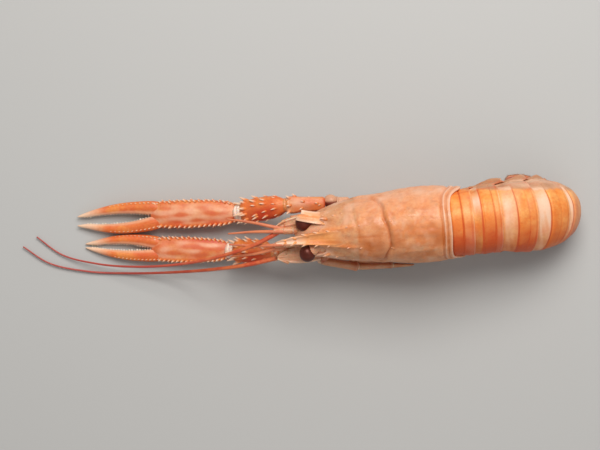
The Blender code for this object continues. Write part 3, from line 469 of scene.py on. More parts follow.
def oval(centre, side, up, half_width, half_height, count, power=2.0):
    """A ring round centre. power over 2 squares it."""
    angles = np.arange(count) * 2 * math.pi / count
    c, s = np.cos(angles), np.sin(angles)
    wide = np.sign(c) * np.abs(c) ** (2 / power) * half_width
    high = np.sign(s) * np.abs(s) ** (2 / power) * half_height
    return np.asarray(centre) + np.outer(wide, side) + np.outer(high, up)


def limb_rings(path, radii, count, flat=1.0):
    """Rings along a path. flat under 1 makes them lower than they are wide."""
    ahead = unit(np.gradient(np.asarray(path, float), axis=0))
    side, up = across(ahead)
    return [oval(p, s, u, r, r * flat, count) for p, s, u, r in zip(path, side, up, radii)]


# ---------------------------------------------------------------- materials


class Wiring:
    """Shorthand for placing nodes in a node tree and joining them."""

    def __init__(self, tree):
        self.tree = tree

    def add(self, kind, inputs=(), **settings):
        """A node of the given kind. inputs holds what each socket is joined to or set to."""
        node = self.tree.nodes.new(kind)
        for key, value in settings.items():
            setattr(node, key, value)
        for key, value in dict(inputs).items():
            if isinstance(value, bpy.types.NodeSocket):
                self.tree.links.new(value, node.inputs[key])
            else:
                node.inputs[key].default_value = value
        return node

    def math(self, operation, a, b=0.5, clamp=False):
        """The result of one sum."""
        return self.add("ShaderNodeMath", {0: a, 1: b}, operation=operation, use_clamp=clamp).outputs[0]

    def remap(self, value, low, high, to_low=0.0, to_high=1.0):
        """The value moved smoothly from one range to another."""
        node = self.add(
            "ShaderNodeMapRange",
            {"Value": value, "From Min": low, "From Max": high, "To Min": to_low, "To Max": to_high},
            interpolation_type="SMOOTHSTEP",
        )
        return node.outputs[0]

    def mix(self, share, a, b, blend="MIX"):
        """Colour a with a share of colour b laid over it."""
        node = self.add("ShaderNodeMix", data_type="RGBA", blend_type=blend)
        for index, value in ((0, share), (6, a), (7, b)):
            if isinstance(value, bpy.types.NodeSocket):
                self.tree.links.new(value, node.inputs[index])
            else:
                node.inputs[index].default_value = value
        return node.outputs[2]

    def noise(self, place, scale, detail=3.0, roughness=0.55):
        """Uneven values about 0.5."""
        sockets = {"Vector": place, "Scale": scale, "Detail": detail, "Roughness": roughness}
        return self.add("ShaderNodeTexNoise", sockets).outputs["Fac"]


def new_group(name, inputs, outputs):
    """An empty shader group with named sockets. Inputs are (name, kind, default), outputs (name, kind)."""
    group = bpy.data.node_groups.new(name, "ShaderNodeTree")
    for label, kind, default in inputs:
        socket = group.interface.new_socket(label, in_out="INPUT", socket_type=kind)
        socket.default_value = default
    for label, kind in outputs:
        group.interface.new_socket(label, in_out="OUTPUT", socket_type=kind)
    wires = Wiring(group)
    return group, wires, wires.add("NodeGroupInput").outputs, wires.add("NodeGroupOutput")


def mottled_shell_group():
    """Cooked shell: blotches of two colours, cream grains, and the pale and deep marks of the mesh."""
    colour, number = "NodeSocketColor", "NodeSocketFloat"
    group, w, given, out = new_group(
        "mottled_shell",
        [
            ("Base", colour, (0.8, 0.35, 0.15, 1)),
            ("Blotch", colour, (0.8, 0.25, 0.08, 1)),
            ("Pale", colour, (0.9, 0.7, 0.5, 1)),
            ("Deep", colour, (0.5, 0.08, 0.02, 1)),
            ("Tan", colour, (0.6, 0.3, 0.15, 1)),
            ("Blotch Scale", number, 180.0),
            ("Grain Scale", number, 1500.0),
            ("Grain Show", number, 0.3),
            ("Stain Show", number, 0.3),
        ],
        [("Color", colour), ("Unevenness", number), ("Height", number)],
    )
    place = w.add("ShaderNodeTexCoord").outputs["Object"]
    broad = w.noise(place, given["Blotch Scale"], 4.0, 0.6)
    fine = w.noise(place, w.math("MULTIPLY", given["Blotch Scale"], 7.0), 3.0)
    body = w.mix(w.remap(broad, 0.36, 0.64), given["Base"], given["Blotch"])
    shade_red, shade_rest = w.remap(fine, 0.25, 0.75, 0.93, 1.06), w.remap(fine, 0.25, 0.75, 0.84, 1.12)
    tan_mark = w.add("ShaderNodeAttribute", attribute_name="tan").outputs["Fac"]
    body = w.mix(tan_mark, body, given["Tan"])
    shade = w.add("ShaderNodeCombineColor", {0: shade_red, 1: shade_rest, 2: shade_rest}).outputs[0]
    body = w.mix(1.0, body, shade, "MULTIPLY")
    stretched = w.add("ShaderNodeMapping", {"Vector": place, "Scale": (1.0, 2.2, 1.0)}).outputs[0]
    stain = w.remap(w.noise(stretched, w.math("MULTIPLY", given["Blotch Scale"], 2.1), 5.0, 0.65), 0.50, 0.68)
    body = w.mix(w.math("MULTIPLY", stain, given["Stain Show"]), body, given["Deep"])
    cells = w.add("ShaderNodeTexVoronoi", {"Vector": place, "Scale": given["Grain Scale"]})
    grain = w.remap(cells.outputs["Distance"], 0.42, 0.08)
    picked = w.remap(w.noise(place, w.math("MULTIPLY", given["Grain Scale"], 0.31), 1.0), 0.42, 0.6)
    specks = w.math("MULTIPLY", w.math("MULTIPLY", grain, picked), given["Grain Show"])
    body = w.mix(specks, body, given["Pale"])
    ragged = w.math("MULTIPLY", w.math("SUBTRACT", fine, 0.5), 0.55)
    deep_mark = w.add("ShaderNodeAttribute", attribute_name="deep").outputs["Fac"]
    deep = w.math("ADD", deep_mark, w.math("MULTIPLY", ragged, deep_mark), clamp=True)
    body = w.mix(deep, body, given["Deep"])
    pale_mark = w.add("ShaderNodeAttribute", attribute_name="pale").outputs["Fac"]
    pale = w.math("ADD", pale_mark, w.math("MULTIPLY", ragged, pale_mark), clamp=True)
    body = w.mix(pale, body, given["Pale"])
    w.tree.links.new(body, out.inputs["Color"])
    w.tree.links.new(broad, out.inputs["Unevenness"])
    height = w.math("ADD", w.math("MULTIPLY", grain, 0.7), w.math("MULTIPLY", fine, 0.6))
    w.tree.links.new(height, out.inputs["Height"])
    return group


MOTTLED_SHELL = mottled_shell_group()


def shell_material(name, base, blotch, pale, deep, tan, scales, shows, gloss, bump, **fixed):
    """A moist shell: a Principled surface driven by the mottled shell group. scales are those of its blotches
    and its grains, shows how strongly grains and stains show, and gloss its lowest and highest roughness."""
    material = bpy.data.materials.new(name)
    material.use_nodes = True
    w = Wiring(material.node_tree)
    shader = material.node_tree.nodes["Principled BSDF"]
    look = w.add("ShaderNodeGroup", node_tree=MOTTLED_SHELL)
    for label, value in zip(("Base", "Blotch", "Pale", "Deep", "Tan"), (base, blotch, pale, deep, tan)):
        look.inputs[label].default_value = (*value, 1.0)
    for label, value in zip(("Blotch Scale", "Grain Scale", "Grain Show", "Stain Show"), (*scales, *shows)):
        look.inputs[label].default_value = value
    material.node_tree.links.new(look.outputs["Color"], shader.inputs["Base Color"])
    roughness = w.remap(look.outputs["Unevenness"], 0.3, 0.7, *gloss)
    material.node_tree.links.new(roughness, shader.inputs["Roughness"])
    relief = w.add("ShaderNodeBump", {"Height": look.outputs["Height"], "Distance": bump, "Strength": 1.0})
    material.node_tree.links.new(relief.outputs[0], shader.inputs["Normal"])
    for label, value in fixed.items():
        shader.inputs[label.replace("_", " ")].default_value = value
    return material


def make_materials():
    """The finishes of shell, joint skin, eyes and bristles, by the names that the pieces ask for."""
    moist = {"Coat_Weight": 0.12, "Coat_Roughness": 0.2, "Specular_IOR_Level": 0.4}
    dull = {"Coat_Weight": 0.05, "Coat_Roughness": 0.3, "Specular_IOR_Level": 0.28}
    flesh = {"Subsurface_Weight": 0.25, "Subsurface_Scale": 0.0012, **moist}
    rosy = (1.0, 0.42, 0.32, 1.0)
    wet = {"Specular_IOR_Level": 0.6, "Specular_Tint": rosy, "Coat_Weight": 0.08, "Coat_Roughness": 0.25}
    return {
        "carapace": shell_material(
            "carapace_shell",
            base=(0.76, 0.305, 0.115),
            blotch=(0.74, 0.225, 0.055),
            # Pale: cream rims and spots, and on the right flank partly a painted highlight.
            pale=(0.78, 0.44, 0.285),
            deep=(0.49, 0.115, 0.016),
            # Tan: the duller front part, and on the left flank painted shade.
            tan=(0.56, 0.28, 0.135),
            scales=(130.0, 2300.0),
            shows=(0.34, 0.46),
            gloss=(0.36, 0.54),
            bump=0.00008,
            **moist,
        ),
        "tail": shell_material(
            "tail_shell",
            base=(0.86, 0.375, 0.095),
            blotch=(0.83, 0.25, 0.040),
            pale=(0.80, 0.50, 0.33),
            # Deep: red grooves and mottling, and on the left flank partly painted shade.
            deep=(0.58, 0.080, 0.012),
            # Tan: the lobes' dull shell, partly their own colour and partly painted shade.
            tan=(0.40, 0.185, 0.09),
            scales=(150.0, 2400.0),
            shows=(0.10, 0.26),
            gloss=(0.42, 0.56),
            bump=0.00006,
            **dull,
        ),
        "fan": shell_material(
            "fan_shell",
            base=(0.84, 0.33, 0.085),
            blotch=(0.80, 0.23, 0.045),
            pale=(0.80, 0.50, 0.33),
            # Deep: the dark red of the outer leaves, which is painted shade, and the darker roots and ribs.
            deep=(0.30, 0.022, 0.010),
            tan=(0.40, 0.185, 0.09),
            scales=(150.0, 2400.0),
            shows=(0.10, 0.22),
            gloss=(0.42, 0.56),
            bump=0.00006,
            **dull,
        ),
        "beak": shell_material(
            "beak_shell",
            base=(0.88, 0.365, 0.115),
            blotch=(0.84, 0.28, 0.06),
            pale=(0.80, 0.47, 0.30),
            # Deep: red keel and stripes, and painted shade on the beak's left slope.
            deep=(0.60, 0.16, 0.03),
            tan=(0.56, 0.28, 0.135),
            scales=(130.0, 2300.0),
            shows=(0.2, 0.3),
            gloss=(0.36, 0.54),
            bump=0.00008,
            **moist,
        ),
        "claw": shell_material(
            "claw_shell",
            base=(0.76, 0.24, 0.050),
            blotch=(0.72, 0.15, 0.03),
            pale=(0.82, 0.54, 0.36),
            deep=(0.56, 0.052, 0.014),
            tan=(0.60, 0.30, 0.14),
            scales=(170.0, 2400.0),
            shows=(0.22, 0.32),
            gloss=(0.36, 0.50),
            bump=0.00007,
            **dull,
        ),
        "leg": shell_material(
            "leg_shell",
            base=(0.66, 0.33, 0.17),
            blotch=(0.66, 0.25, 0.10),
            pale=(0.80, 0.51, 0.33),
            # Deep: dark joint rims and redder shell, and the painted shadow along the first left leg's inner
            # side.
            deep=(0.42, 0.09, 0.025),
            tan=(0.52, 0.26, 0.13),
            scales=(210.0, 1900.0),
            shows=(0.15, 0.3),
            gloss=(0.30, 0.46),
            bump=0.00005,
            **flesh,
        ),
        "arm_root": shell_material(
            "arm_root_shell",
            base=(0.58, 0.28, 0.15),
            blotch=(0.58, 0.22, 0.10),
            pale=(0.78, 0.49, 0.32),
            # Deep: near-black red, the painted shadow on the knob's inner and lower side; also the root
            # segment's rims.
            deep=(0.14, 0.010, 0.006),
            tan=(0.48, 0.22, 0.12),
            scales=(210.0, 1900.0),
            shows=(0.15, 0.15),
            gloss=(0.36, 0.50),
            bump=0.00005,
            **dull,
        ),
        "membrane": shell_material(
            "joint_membrane",
            base=(0.84, 0.56, 0.40),
            blotch=(0.80, 0.44, 0.26),
            pale=(0.90, 0.72, 0.58),
            deep=(0.68, 0.24, 0.07),
            tan=(0.6, 0.34, 0.2),
            scales=(240.0, 900.0),
            shows=(0.15, 0.15),
            gloss=(0.24, 0.40),
            bump=0.0001,
            **flesh,
        ),
        "feeler": shell_material(
            "feeler_shell",
            base=(0.66, 0.15, 0.045),
            blotch=(0.54, 0.07, 0.022),
            pale=(0.80, 0.38, 0.20),
            deep=(0.40, 0.050, 0.040),
            tan=(0.5, 0.2, 0.1),
            scales=(220.0, 1600.0),
            shows=(0.1, 0.2),
            gloss=(0.32, 0.46),
            bump=0.00004,
            **moist,
        ),
        "eye": shell_material(
            "eye_surface",
            base=(0.055, 0.009, 0.005),
            blotch=(0.085, 0.014, 0.008),
            pale=(0.2, 0.06, 0.04),
            deep=(0.02, 0.004, 0.003),
            tan=(0.1, 0.03, 0.02),
            scales=(300.0, 5200.0),
            shows=(0.05, 0.3),
            gloss=(0.33, 0.42),
            bump=0.00001,
            **wet,
        ),
        "bristle": shell_material(
            "bristle",
            base=(0.50, 0.22, 0.08),
            blotch=(0.38, 0.14, 0.05),
            pale=(0.8, 0.55, 0.35),
            deep=(0.3, 0.1, 0.03),
            tan=(0.4, 0.2, 0.1),
            scales=(300.0, 2000.0),
            shows=(0.0, 0.0),
            gloss=(0.40, 0.55),
            bump=0.00001,
        ),
    }


# ---------------------------------------------------------------- head and thorax


def carapace_profile(x):
    """Half width, height of the back and of the belly at x."""
    return [keyed(x, [(row[0], row[k]) for row in CARAPACE_SECTIONS]) for k in (1, 2, 3)]


def carapace_relief(x, degrees):
    """Outward relief of the carapace: its grooves, ridges and rear rim."""
    away = np.abs(degrees)
    upper = 1 - ramp(away, 112, 138)
    groove_x = groove_line(degrees)
    # The cervical groove with its swollen rear edge, and a shallow one at the end of the front part.
    relief = -0.75 * hump(x, groove_x, 0.42) * upper - 0.40 * hump(x, groove_x - 0.6, 1.7) * upper
    relief += 0.30 * hump(x, groove_x + 1.5, 0.9) * upper
    relief -= 0.30 * hump(x, 5.0 - 0.02 * away, 0.6) * hump(away, 38, 26)
    # A keel and two side ridges behind the groove, and a furrow before it.
    behind = ramp(x, groove_x + 2, groove_x + 6) * (1 - ramp(x, 31, 35))
    relief += (0.16 * hump(degrees, 0, 2.4) - 0.12 * (hump(degrees, 6, 3) + hump(degrees, -6, 3))) * behind
    relief += 0.16 * hump(away, 27 - 0.25 * (x - 20), 3.2) * behind
    before = 1 - ramp(x, groove_x - 5, groove_x - 1)
    relief -= 0.14 * hump(degrees, 0, 1.6) * before
    # The beak's ridges and those behind the eyes run on into the shell, with hollows beside them.
    relief += 0.62 * hump(away, ridge_degrees(x), 3.2) * (1 - ramp(x, -6, 10))
    relief -= 0.30 * hump(away, 0.0, 6.0) * (1 - ramp(x, -6, 8))
    relief += 0.40 * hump(away, 44, 5.0) * (1 - ramp(x, -4, 2))
    relief -= 0.45 * hump(away, 30, 6.0) * (1 - ramp(x, -5, 5))
    # The rear rim behind its groove.
    relief -= 0.42 * hump(x, 35.3, 0.42) * (away < 150)
    relief += 0.22 * ramp(x, 35.5, 36.2) - 0.25 * hump(x, 37.0, 0.28)
    return relief + 0.12 * hump(x, 37.9, 0.5)


def groove_line(degrees):
    """Where the cervical groove runs. It lies further back on the left of the middle."""
    kink = LEFT_KINK * hump(degrees, LEFT_KINK_DEGREES, LEFT_KINK_WIDTH)
    return keyed(np.abs(degrees), CERVICAL_GROOVE) + kink


def ridge_degrees(x):
    """How far round from the middle of the back the rostrum's ridges run on along the carapace."""
    return 12.4 + 0.35 * (x + 9)


def orbit_corner(away):
    """How far the front edge stands forward in a pointed corner outside each eye."""
    return ORBIT_CORNER_LENGTH * np.clip(1 - np.abs(away - ORBIT_CORNER_DEGREES) / 16.0, 0, 1) ** 1.2


def carapace_points(x, degrees, lift=0.0):
    """Points of the carapace in the upright frame, for arrays of x and of the angle round from the back."""
    half_width, back, belly = carapace_profile(x)
    widest = belly + WIDEST_SHARE * (back - belly)
    c, s = cos_sin(degrees)
    away = np.abs(degrees)
    corner = ORBIT_CORNER_LIFT * hump(away, ORBIT_CORNER_DEGREES - 4, 13)
    out = carapace_relief(x, degrees) + lift
    out = out + corner * np.clip((-3.5 - x) / 5.5, 0, 1) ** 1.6
    y = np.sign(s) * np.abs(s) ** 0.88 * (half_width + out)
    reach = np.where(c > 0, back - widest + out, widest - belly)
    pinch = np.where(c > 0, 1.0, 1.0 - 0.35 * np.abs(c) ** 1.5)
    swept = keyed(away, REAR_SWEEP) * np.clip((x - 20) / 18.5, 0, 1.2) ** 2
    swept = swept + (keyed(away, FRONT_SWEEP) - orbit_corner(away)) * np.clip((4 - x) / 13.0, 0, 1.2) ** 2
    points = np.stack([x + swept, y * pinch, widest + np.sign(c) * np.abs(c) ** 0.94 * reach], -1)
    lumps = waves(points, 9.0, 3) * 0.11 + waves(points, 3.5, 4) * 0.06 + waves(points, 1.6, 5) * 0.025
    points[..., 1] += lumps * s
    points[..., 2] += lumps * np.maximum(c, 0)
    return points


def carapace_marks(x, degrees, points):
    """Pale, deep and tan of the carapace: a duller front part, a left flank made tan as painted shade and a
    right one made paler, partly pinker shell and partly painted highlight, red grooves with cream edges, and
    spots and redder patches on the back."""
    away = np.abs(degrees)
    groove_x = groove_line(degrees)
    flank = ramp(away, 30, 70)
    patches = 0.5 + 0.5 * waves(points, 6.0, 12)
    streaks = 0.5 + 0.5 * waves(points, 2.6, 13)
    spots = 0.5 + 0.36 * waves(points, 4.6, 15) + 0.24 * waves(points, 2.0, 16)
    front = 1 - ramp(x + 0.5 * patches, FRONT_PART_X - 0.5, FRONT_PART_X + 0.5)
    rest = 1 - front
    ridge = hump(away, ridge_degrees(x), 6.0) * (1 - ramp(x, 0, 10))
    beak_root = (1 - ramp(away, 16, 26)) * (1 - ramp(x, -6, 0))

    tan = front * (0.45 + 0.45 * streaks) * (1 - ridge) * (1 - beak_root)
    # On the left flank, away from the light, the tan is painted shade.
    tan += rest * streaks * (0.25 * (1 - flank) + 0.6 * flank * (degrees < 0))
    tan += 0.7 * hump(x, 26, 5) * hump(degrees, -22, 10) * (0.6 + 0.4 * streaks)
    tan += 0.42 * rest * ramp(spots, 0.6, 0.95)

    pale = 0.9 * hump(x, 38.3, 0.42) + 0.75 * hump(x, 36.1, 0.24)
    pale += 0.8 * hump(x, CARAPACE_FRONT_X, 1.4) * hump(away, 48, 26)
    pale += front * ramp(away, 12, 30) * 0.55 * ramp(patches, 0.35, 0.9) * (1 - beak_root)
    # The paler right flank, towards the light, is partly pinker shell and partly painted highlight.
    pale += flank * (0.20 + 0.35 * patches) * rest * (degrees > 0) + 0.12 * rest * patches
    pale += 0.24 * rest * ramp(1 - spots, 0.6, 0.95)

    deep = 0.8 * hump(x, groove_x, 0.34) * (1 - 0.35 * flank) + 0.7 * hump(x, 35.25, 0.28)
    deep += 0.75 * hump(x, 37.05, 0.24) + 0.36 * hump(x, groove_x - 3.2, 2.6) * (1 - flank) * patches
    deep += 0.15 * ridge * streaks + 0.35 * hump(x, 5.6, 0.35) * streaks
    deep += 0.45 * hump(degrees, 0, 1.6) * hump(x, 8, 7)
    deep += 0.40 * (1 - flank) * rest * ramp(1 - patches, 0.3, 0.9)

    orange = sum(
        strength * hump(x, at, length) * hump(degrees, degree, width)
        for at, degree, length, width, strength in ORANGE_PATCHES
    )
    orange = np.clip(orange * rest * (0.7 + 0.3 * patches), 0, 1)
    covered = 1 - 0.8 * orange
    return [np.clip(mark, 0, 1) for mark in (pale * covered, deep + orange, tan * covered)]


def turned_in(x, degrees, steps):
    """Rings that carry the carapace's edge at x inwards, one for each step."""
    at = np.full(len(degrees), x)
    return [carapace_points(at, degrees, lift) + (shift, 0, 0) for lift, shift in steps]


def carapace(materials):
    """The shell of head and thorax. It turns in at its front and rear edges."""
    degrees = np.linspace(-180, 180, 180, endpoint=False)
    x = np.concatenate([np.linspace(CARAPACE_FRONT_X, 34, 120), np.linspace(34.2, CARAPACE_REAR_X, 26)])
    grid_x, grid_degrees = np.meshgrid(x, degrees, indexing="ij")
    points = carapace_points(grid_x, grid_degrees)
    rings = [*turned_in(x[0], degrees, FRONT_TURN), *points, *turned_in(x[-1], degrees, REAR_TURN)]
    marks = []
    for mark, inside in zip(carapace_marks(grid_x, grid_degrees, points), (0.0, 0.3, 0.0)):
        front = [mark[0]] * len(FRONT_TURN)
        rear = [np.full(len(degrees), inside)] * len(REAR_TURN)
        marks.append(np.array([*front, *mark, *rear]))
    skin = Skin()
    skin.loft(lay(np.array(rings)), *marks)
    for side in (-1, 1):
        for at, degree, size in CARAPACE_THORNS:
            stations = np.array([at, at - size * 1.4])
            lifts = np.array([-0.3, size * 0.6])
            root, tip = carapace_points(stations, np.full(2, side * degree), lifts)
            skin.thorn(*lay([root, tip]), 0.3 * size + 0.14)
    return skin.piece("carapace", materials["carapace"], "shell")


def rostrum_height(x):
    """Height of the beak at x."""
    return keyed(x, ROSTRUM_HEIGHTS)


def rostrum_share(x):
    """0 at the beak's tip and 1 at its root."""
    return (x - ROSTRUM_TIP_X) / (ROSTRUM_ROOT_X - ROSTRUM_TIP_X)


def rostrum_half_width(share):
    """Half the beak's width at a share of the way from its tip to its root."""
    return ROSTRUM_HALF_WIDTH * share**0.8


def rostrum(materials):
    """The beak: two toothed ridges with a furrow between them, which fade into the carapace."""
    stations = np.linspace(ROSTRUM_ROOT_X, ROSTRUM_TIP_X, 90)
    angles = np.linspace(-180, 180, 64, endpoint=False)
    away = np.abs(angles)
    c, s = cos_sin(angles)
    level = np.sign(c) * np.abs(c) ** 0.5
    ridge, furrow, keel = hump(away, 56, 17), hump(away, 0, 30), hump(angles, 0, 7)
    right_margin, shaded_left_slope, left_margin = hump(angles, 60, 18), hump(angles, -30, 17), hump(angles, -72, 14)
    # The beak's left slope, away from the light, is made redder as painted shade; the keel's red is its own.
    redder = 0.4 * keel + 0.35 * right_margin + 0.8 * shaded_left_slope
    rings, deep, pale, tan = [], [], [], []
    for x in stations:
        share = rostrum_share(x)
        half_width = 0.3 + rostrum_half_width(share)
        half_height = 0.32 + 1.5 * share**0.7
        proud = 1 - ramp(x, -9, -1)
        y = s * half_width * (1 + 0.08 * ridge)
        z = rostrum_height(x) + (level - 0.4) * half_height
        z = z + (ridge * 0.42 - furrow * 0.42) * half_height * (0.1 + 0.9 * proud)
        rings.append(np.stack([np.full(len(angles), x), y, z], -1))
        stretch = ramp(share, 0.3, 0.5) * (1 - ramp(share, 0.8, 0.95))
        deep.append(redder * stretch + 0.12 * ridge * ramp(share, 0.5, 0.7))
        paler = 0.85 * (1 - ramp(share, 0.22, 0.44)) + 0.15 * furrow * (1 - ramp(share, 0.4, 0.6))
        pale.append(paler + 0.35 * left_margin * stretch)
        tan.append(np.clip(0.75 * ramp(share, 0.70, 0.88) + 0.45 * right_margin * stretch, 0, 1))
    skin = Skin()
    skin.loft(lay(np.array(rings)), np.array(pale), np.array(deep), np.array(tan))
    for side in (-1, 1):
        for x, size in ROSTRUM_TEETH:
            edge = rostrum_half_width(rostrum_share(x))
            root = (x, side * edge * 0.88, rostrum_height(x) + 0.15)
            tip = (x - 2.0 * size, side * (edge + 0.7 * size), rostrum_height(x) + 0.9 * size)
            skin.thorn(*lay([root, tip]), 0.48 * size + 0.1)
    return skin.piece("rostrum", materials["beak"], "shell")


def brow_plate(materials):
    """The pointed plate that overhangs the right eye, from the edge of the carapace to a notched end."""
    root, middle, end = (smooth_path(points, 29) for points in (BROW_ROOT, BROW_MIDDLE, BROW_END))
    u, v = np.meshgrid(np.linspace(0, 1, 40), np.linspace(0, 1, 29), indexing="ij")
    t = u[..., None]
    top = (1 - t) ** 2 * root + 2 * t * (1 - t) * middle + t**2 * end
    furrow = hump(v, 0.5, 0.14) * ramp(u, 0.3, 0.8)
    edges = np.maximum(hump(v, 0.0, 0.12), hump(v, 1.0, 0.12))
    top[..., 2] += 0.25 * np.sin(np.pi * v) * (1 - u) - 0.40 * furrow + 0.20 * edges
    bottom = top - np.stack([0 * u, 0 * u, 0.35 + 0.55 * (1 - u)], -1)
    stripe = hump(v, 0.45, 0.16) * ramp(u, 0.1, 0.4)
    pale = np.clip(edges + 0.9 * ramp(u, 0.85, 1.0) + 0.45, 0, 1) * ramp(u, 0.05, 0.4) * (1 - stripe)
    skin = Skin()
    skin.slab(lay(top), lay(bottom), pale, 0.45 * stripe, 0.5 * (1 - ramp(u, 0.1, 0.5)))
    return skin.piece("brow_plate", materials["beak"], "shell")


def eyes(materials):
    """Kidney-shaped dark eyes on short stalks."""
    black, stalks = Skin(), Skin()
    half_length, half_width, half_height = EYE_HALF_SIZE
    for side, (x, y, z) in EYE_MIDDLES.items():
        rings = []
        for angle in np.linspace(0.06, math.pi - 0.06, 36):
            swell = math.sin(angle) ** 0.92
            reach = half_length * math.cos(angle) * (1 + EYE_TAIL[side] * max(math.cos(angle), 0.0))
            centre = (x + reach, side * y, z)
            ring = oval(centre, (0, 1, 0), (0, 0, 1), half_width * swell, half_height * swell, 48)
            inward = hump(ring[:, 1] * side, y - 1.6, 1.7) * hump(ring[:, 0], x + half_length, 2.4)
            ring[:, 0] -= 0.6 * inward
            rings.append(ring)
        black.loft(lay(np.array(rings)))
        route = [(-5.0, 2.2, 26.6), (-8.6, 3.4, z - 0.8), (-10.6, 4.3, z - 0.4), (x + 0.6, y - 0.4, z - 0.1)]
        path = smooth_path(mirrored(route, side), 24)
        radii = keyed(np.linspace(0, 1, 24), STALK_RADII)
        stalks.loft(lay(np.array(limb_rings(path, radii, 28))), pale=0.2, deep=0.2)
    black.piece("eyes", materials["eye"], "eye")
    stalks.piece("eye_stalks", materials["leg"], "leg_shell")


def head_block(materials):
    """The block between beak and mouth, with the feet of the feelers."""
    skin = Skin()
    block = [oval((x, 0, z), (0, 1, 0), (0, 0, 1), w, h, 48, 2.4) for x, z, w, h in HEAD_BLOCK]
    skin.loft(lay(np.array(block)), 0.3)
    for side in (-1, 1):
        limb(skin, lay(mirrored(SHORT_FEELER_FOOT, side)), SHORT_FOOT_RADII)
        foot = [(x, y - FOOT_LEAN[side], z) for x, y, z in LONG_FEELER_FOOT]
        limb(skin, lay(mirrored(foot, side)), LONG_FOOT_RADII)
    return skin.piece("head_block", materials["leg"], "leg_shell")


def bone(skin, start, end, near, far, flat=0.9, bow=0.0, pale=0.0, painted_shade=0.0):
    """One hard segment of a limb, with a narrow neck at its near end and a flared rim at its far one."""
    start, end = np.array(start, float), np.array(end, float)
    length = np.linalg.norm(end - start)
    shares = np.array([-0.02, 0.0, 0.05, 0.14, 0.3, 0.5, 0.7, 0.86, 0.93, 0.97, 1.0, 1.01])
    widths = np.array([0.35, 0.66, 0.88, 1.0, 1.02, 1.0, 1.0, 1.02, 1.09, 1.13, 1.02, 0.6])
    path = start + np.outer(shares, end - start)
    path[:, 2] += bow * length * np.sin(np.pi * np.clip(shares, 0, 1))
    radii = (near + (far - near) * np.clip(shares, 0, 1)) * widths
    rims = hump(shares, 0.93, 0.06)[:, None] * np.ones(BONE_SIDES)
    # An extra deep mark passed in is painted shade.
    deep = np.clip(0.5 * rims + painted_shade, 0, 1)
    pale = pale + 0.35 * hump(shares, 0.99, 0.03)[:, None]
    skin.loft(limb_rings(path, radii, BONE_SIDES, flat), pale, deep)


def limb(skin, joints, radii, flat=0.9, bow=0.0, painted_shade=0.0):
    """Hard segments from joint to joint, with a ball of pale skin at each joint between them.
    radii holds each segment's near and far radius."""
    for start, end, (near, far) in zip(joints, joints[1:], radii):
        bone(skin, start, end, near, far, flat, bow, 0.0, painted_shade)
    for joint, (near, far) in zip(joints[1:-1], radii):
        across_x, across_y = np.array([1.0, 0, 0]), np.array([0, 1.0, 0])
        steps = np.linspace(-1, 1, 7)
        ball = [
            oval(np.add(joint, (0, 0, far * 0.78 * h)), across_x, across_y, r, r, 14)
            for h, r in zip(steps, far * 0.8 * np.sqrt(1.02 - steps**2))
        ]
        skin.loft(ball, 0.9)


def scale_leaves(materials):
    """The leaf-shaped scale by each feeler: an outer rib that ends in a thorn, and a thin fringed blade."""
    skin, fringe = Skin(), Skin()
    for side in (-1, 1):
        u, v = np.meshgrid(np.linspace(0, 1, 44), np.linspace(-1, 1, 25), indexing="ij")
        width = keyed(u, [(0, 0.85), (0.2, 1.0), (0.55, 0.98), (0.8, 0.72), (0.93, 0.4), (1, 0.12)])
        root_across, tip_across = SCALE_ACROSS[side]
        blade = SCALE_HALF_WIDTH[side] * (v * width)
        middle = root_across + (tip_across - root_across) * u
        x = SCALE_ROOT_X - SCALE_LENGTH * u
        rib = hump(v, 0.86, 0.16)
        rib_mid = hump(v, 0.0, 0.12)
        z = SCALE_ROOT_HEIGHT - 1.5 * u - 0.08 * blade**2 + 0.5 * rib + 0.18 * rib_mid
        top = np.stack([x, side * (middle + blade), z + 0.35], -1)
        thin = 0.28 + 0.5 * hump(v, 0.86, 0.25) + 0.15 * rib_mid
        bottom = top - np.stack([0 * thin, 0 * thin, thin], -1)
        pale = 0.25 + 0.35 * ramp(-v, 0.4, 1.0) + 0.6 * rib
        deep = 0.45 * hump(v, 0.62, 0.14) * (1 - 0.5 * u) + 0.35 * rib_mid + 0.35 * hump(u, 0.12, 0.12)
        top, bottom = lay(top), lay(bottom)
        skin.slab(top, bottom, pale, deep)
        root, tip = top[-9, -2], top[-4, -2]
        skin.thorn(root, tip + unit(tip - root) * 1.4, 0.45)
        edge = smooth_path([*top[10:, 0], *top[-1, 1:22]], 150)
        outward = np.tile(lay([(-0.75, -side * 0.65, -0.05)])[0] - lay([(0, 0, 0)])[0], (150, 1))
        fringe.hairs(edge, edge + outward * chance.uniform(0.9, 1.5, (150, 1)), 0.05)
    skin.piece("feeler_scales", materials["leg"], "leg_shell")
    fringe.piece("feeler_scale_fringe", materials["bristle"], "leg_shell")


def ringed(radii, depth):
    """Radii with a fine ring at every third one."""
    return radii * (1 + depth * np.where(np.arange(len(radii)) % 3 == 0, 1, -0.5))


def feelers(materials):
    """Two long whips with fine rings, and a forked short pair on each side."""
    whips = Skin()
    for route in (LEFT_FEELER, RIGHT_FEELER):
        steps = 420
        path = smooth_path(route, steps)
        shares = np.linspace(0, 1, steps)
        radii = ringed(keyed(shares, FEELER_RADII), 0.07)
        whips.loft(limb_rings(path, radii, 12), 0.0, 0.85 * ramp(shares, 0.2, 0.6)[:, None])
    whips.piece("long_feelers", materials["feeler"], "claw_shell")
    short = Skin()
    for side in (-1, 1):
        for branch in (0, 1):
            route = [
                (-15.0, side * 2.0, 24.4),
                (-22.0, side * (2.4 + branch), 24.6 - branch),
                (-31.0, side * (2.6 + 3.0 * branch), 22.0 - branch),
                (-41.0, side * (2.0 + 5.0 * branch), 18.4 - 2 * branch),
            ]
            path = lay(smooth_path(route, 150))
            short.loft(limb_rings(path, ringed(np.linspace(0.85, 0.3, 150), 0.08), 10), 0.3)
    short.piece("short_feelers", materials["feeler"], "claw_shell")


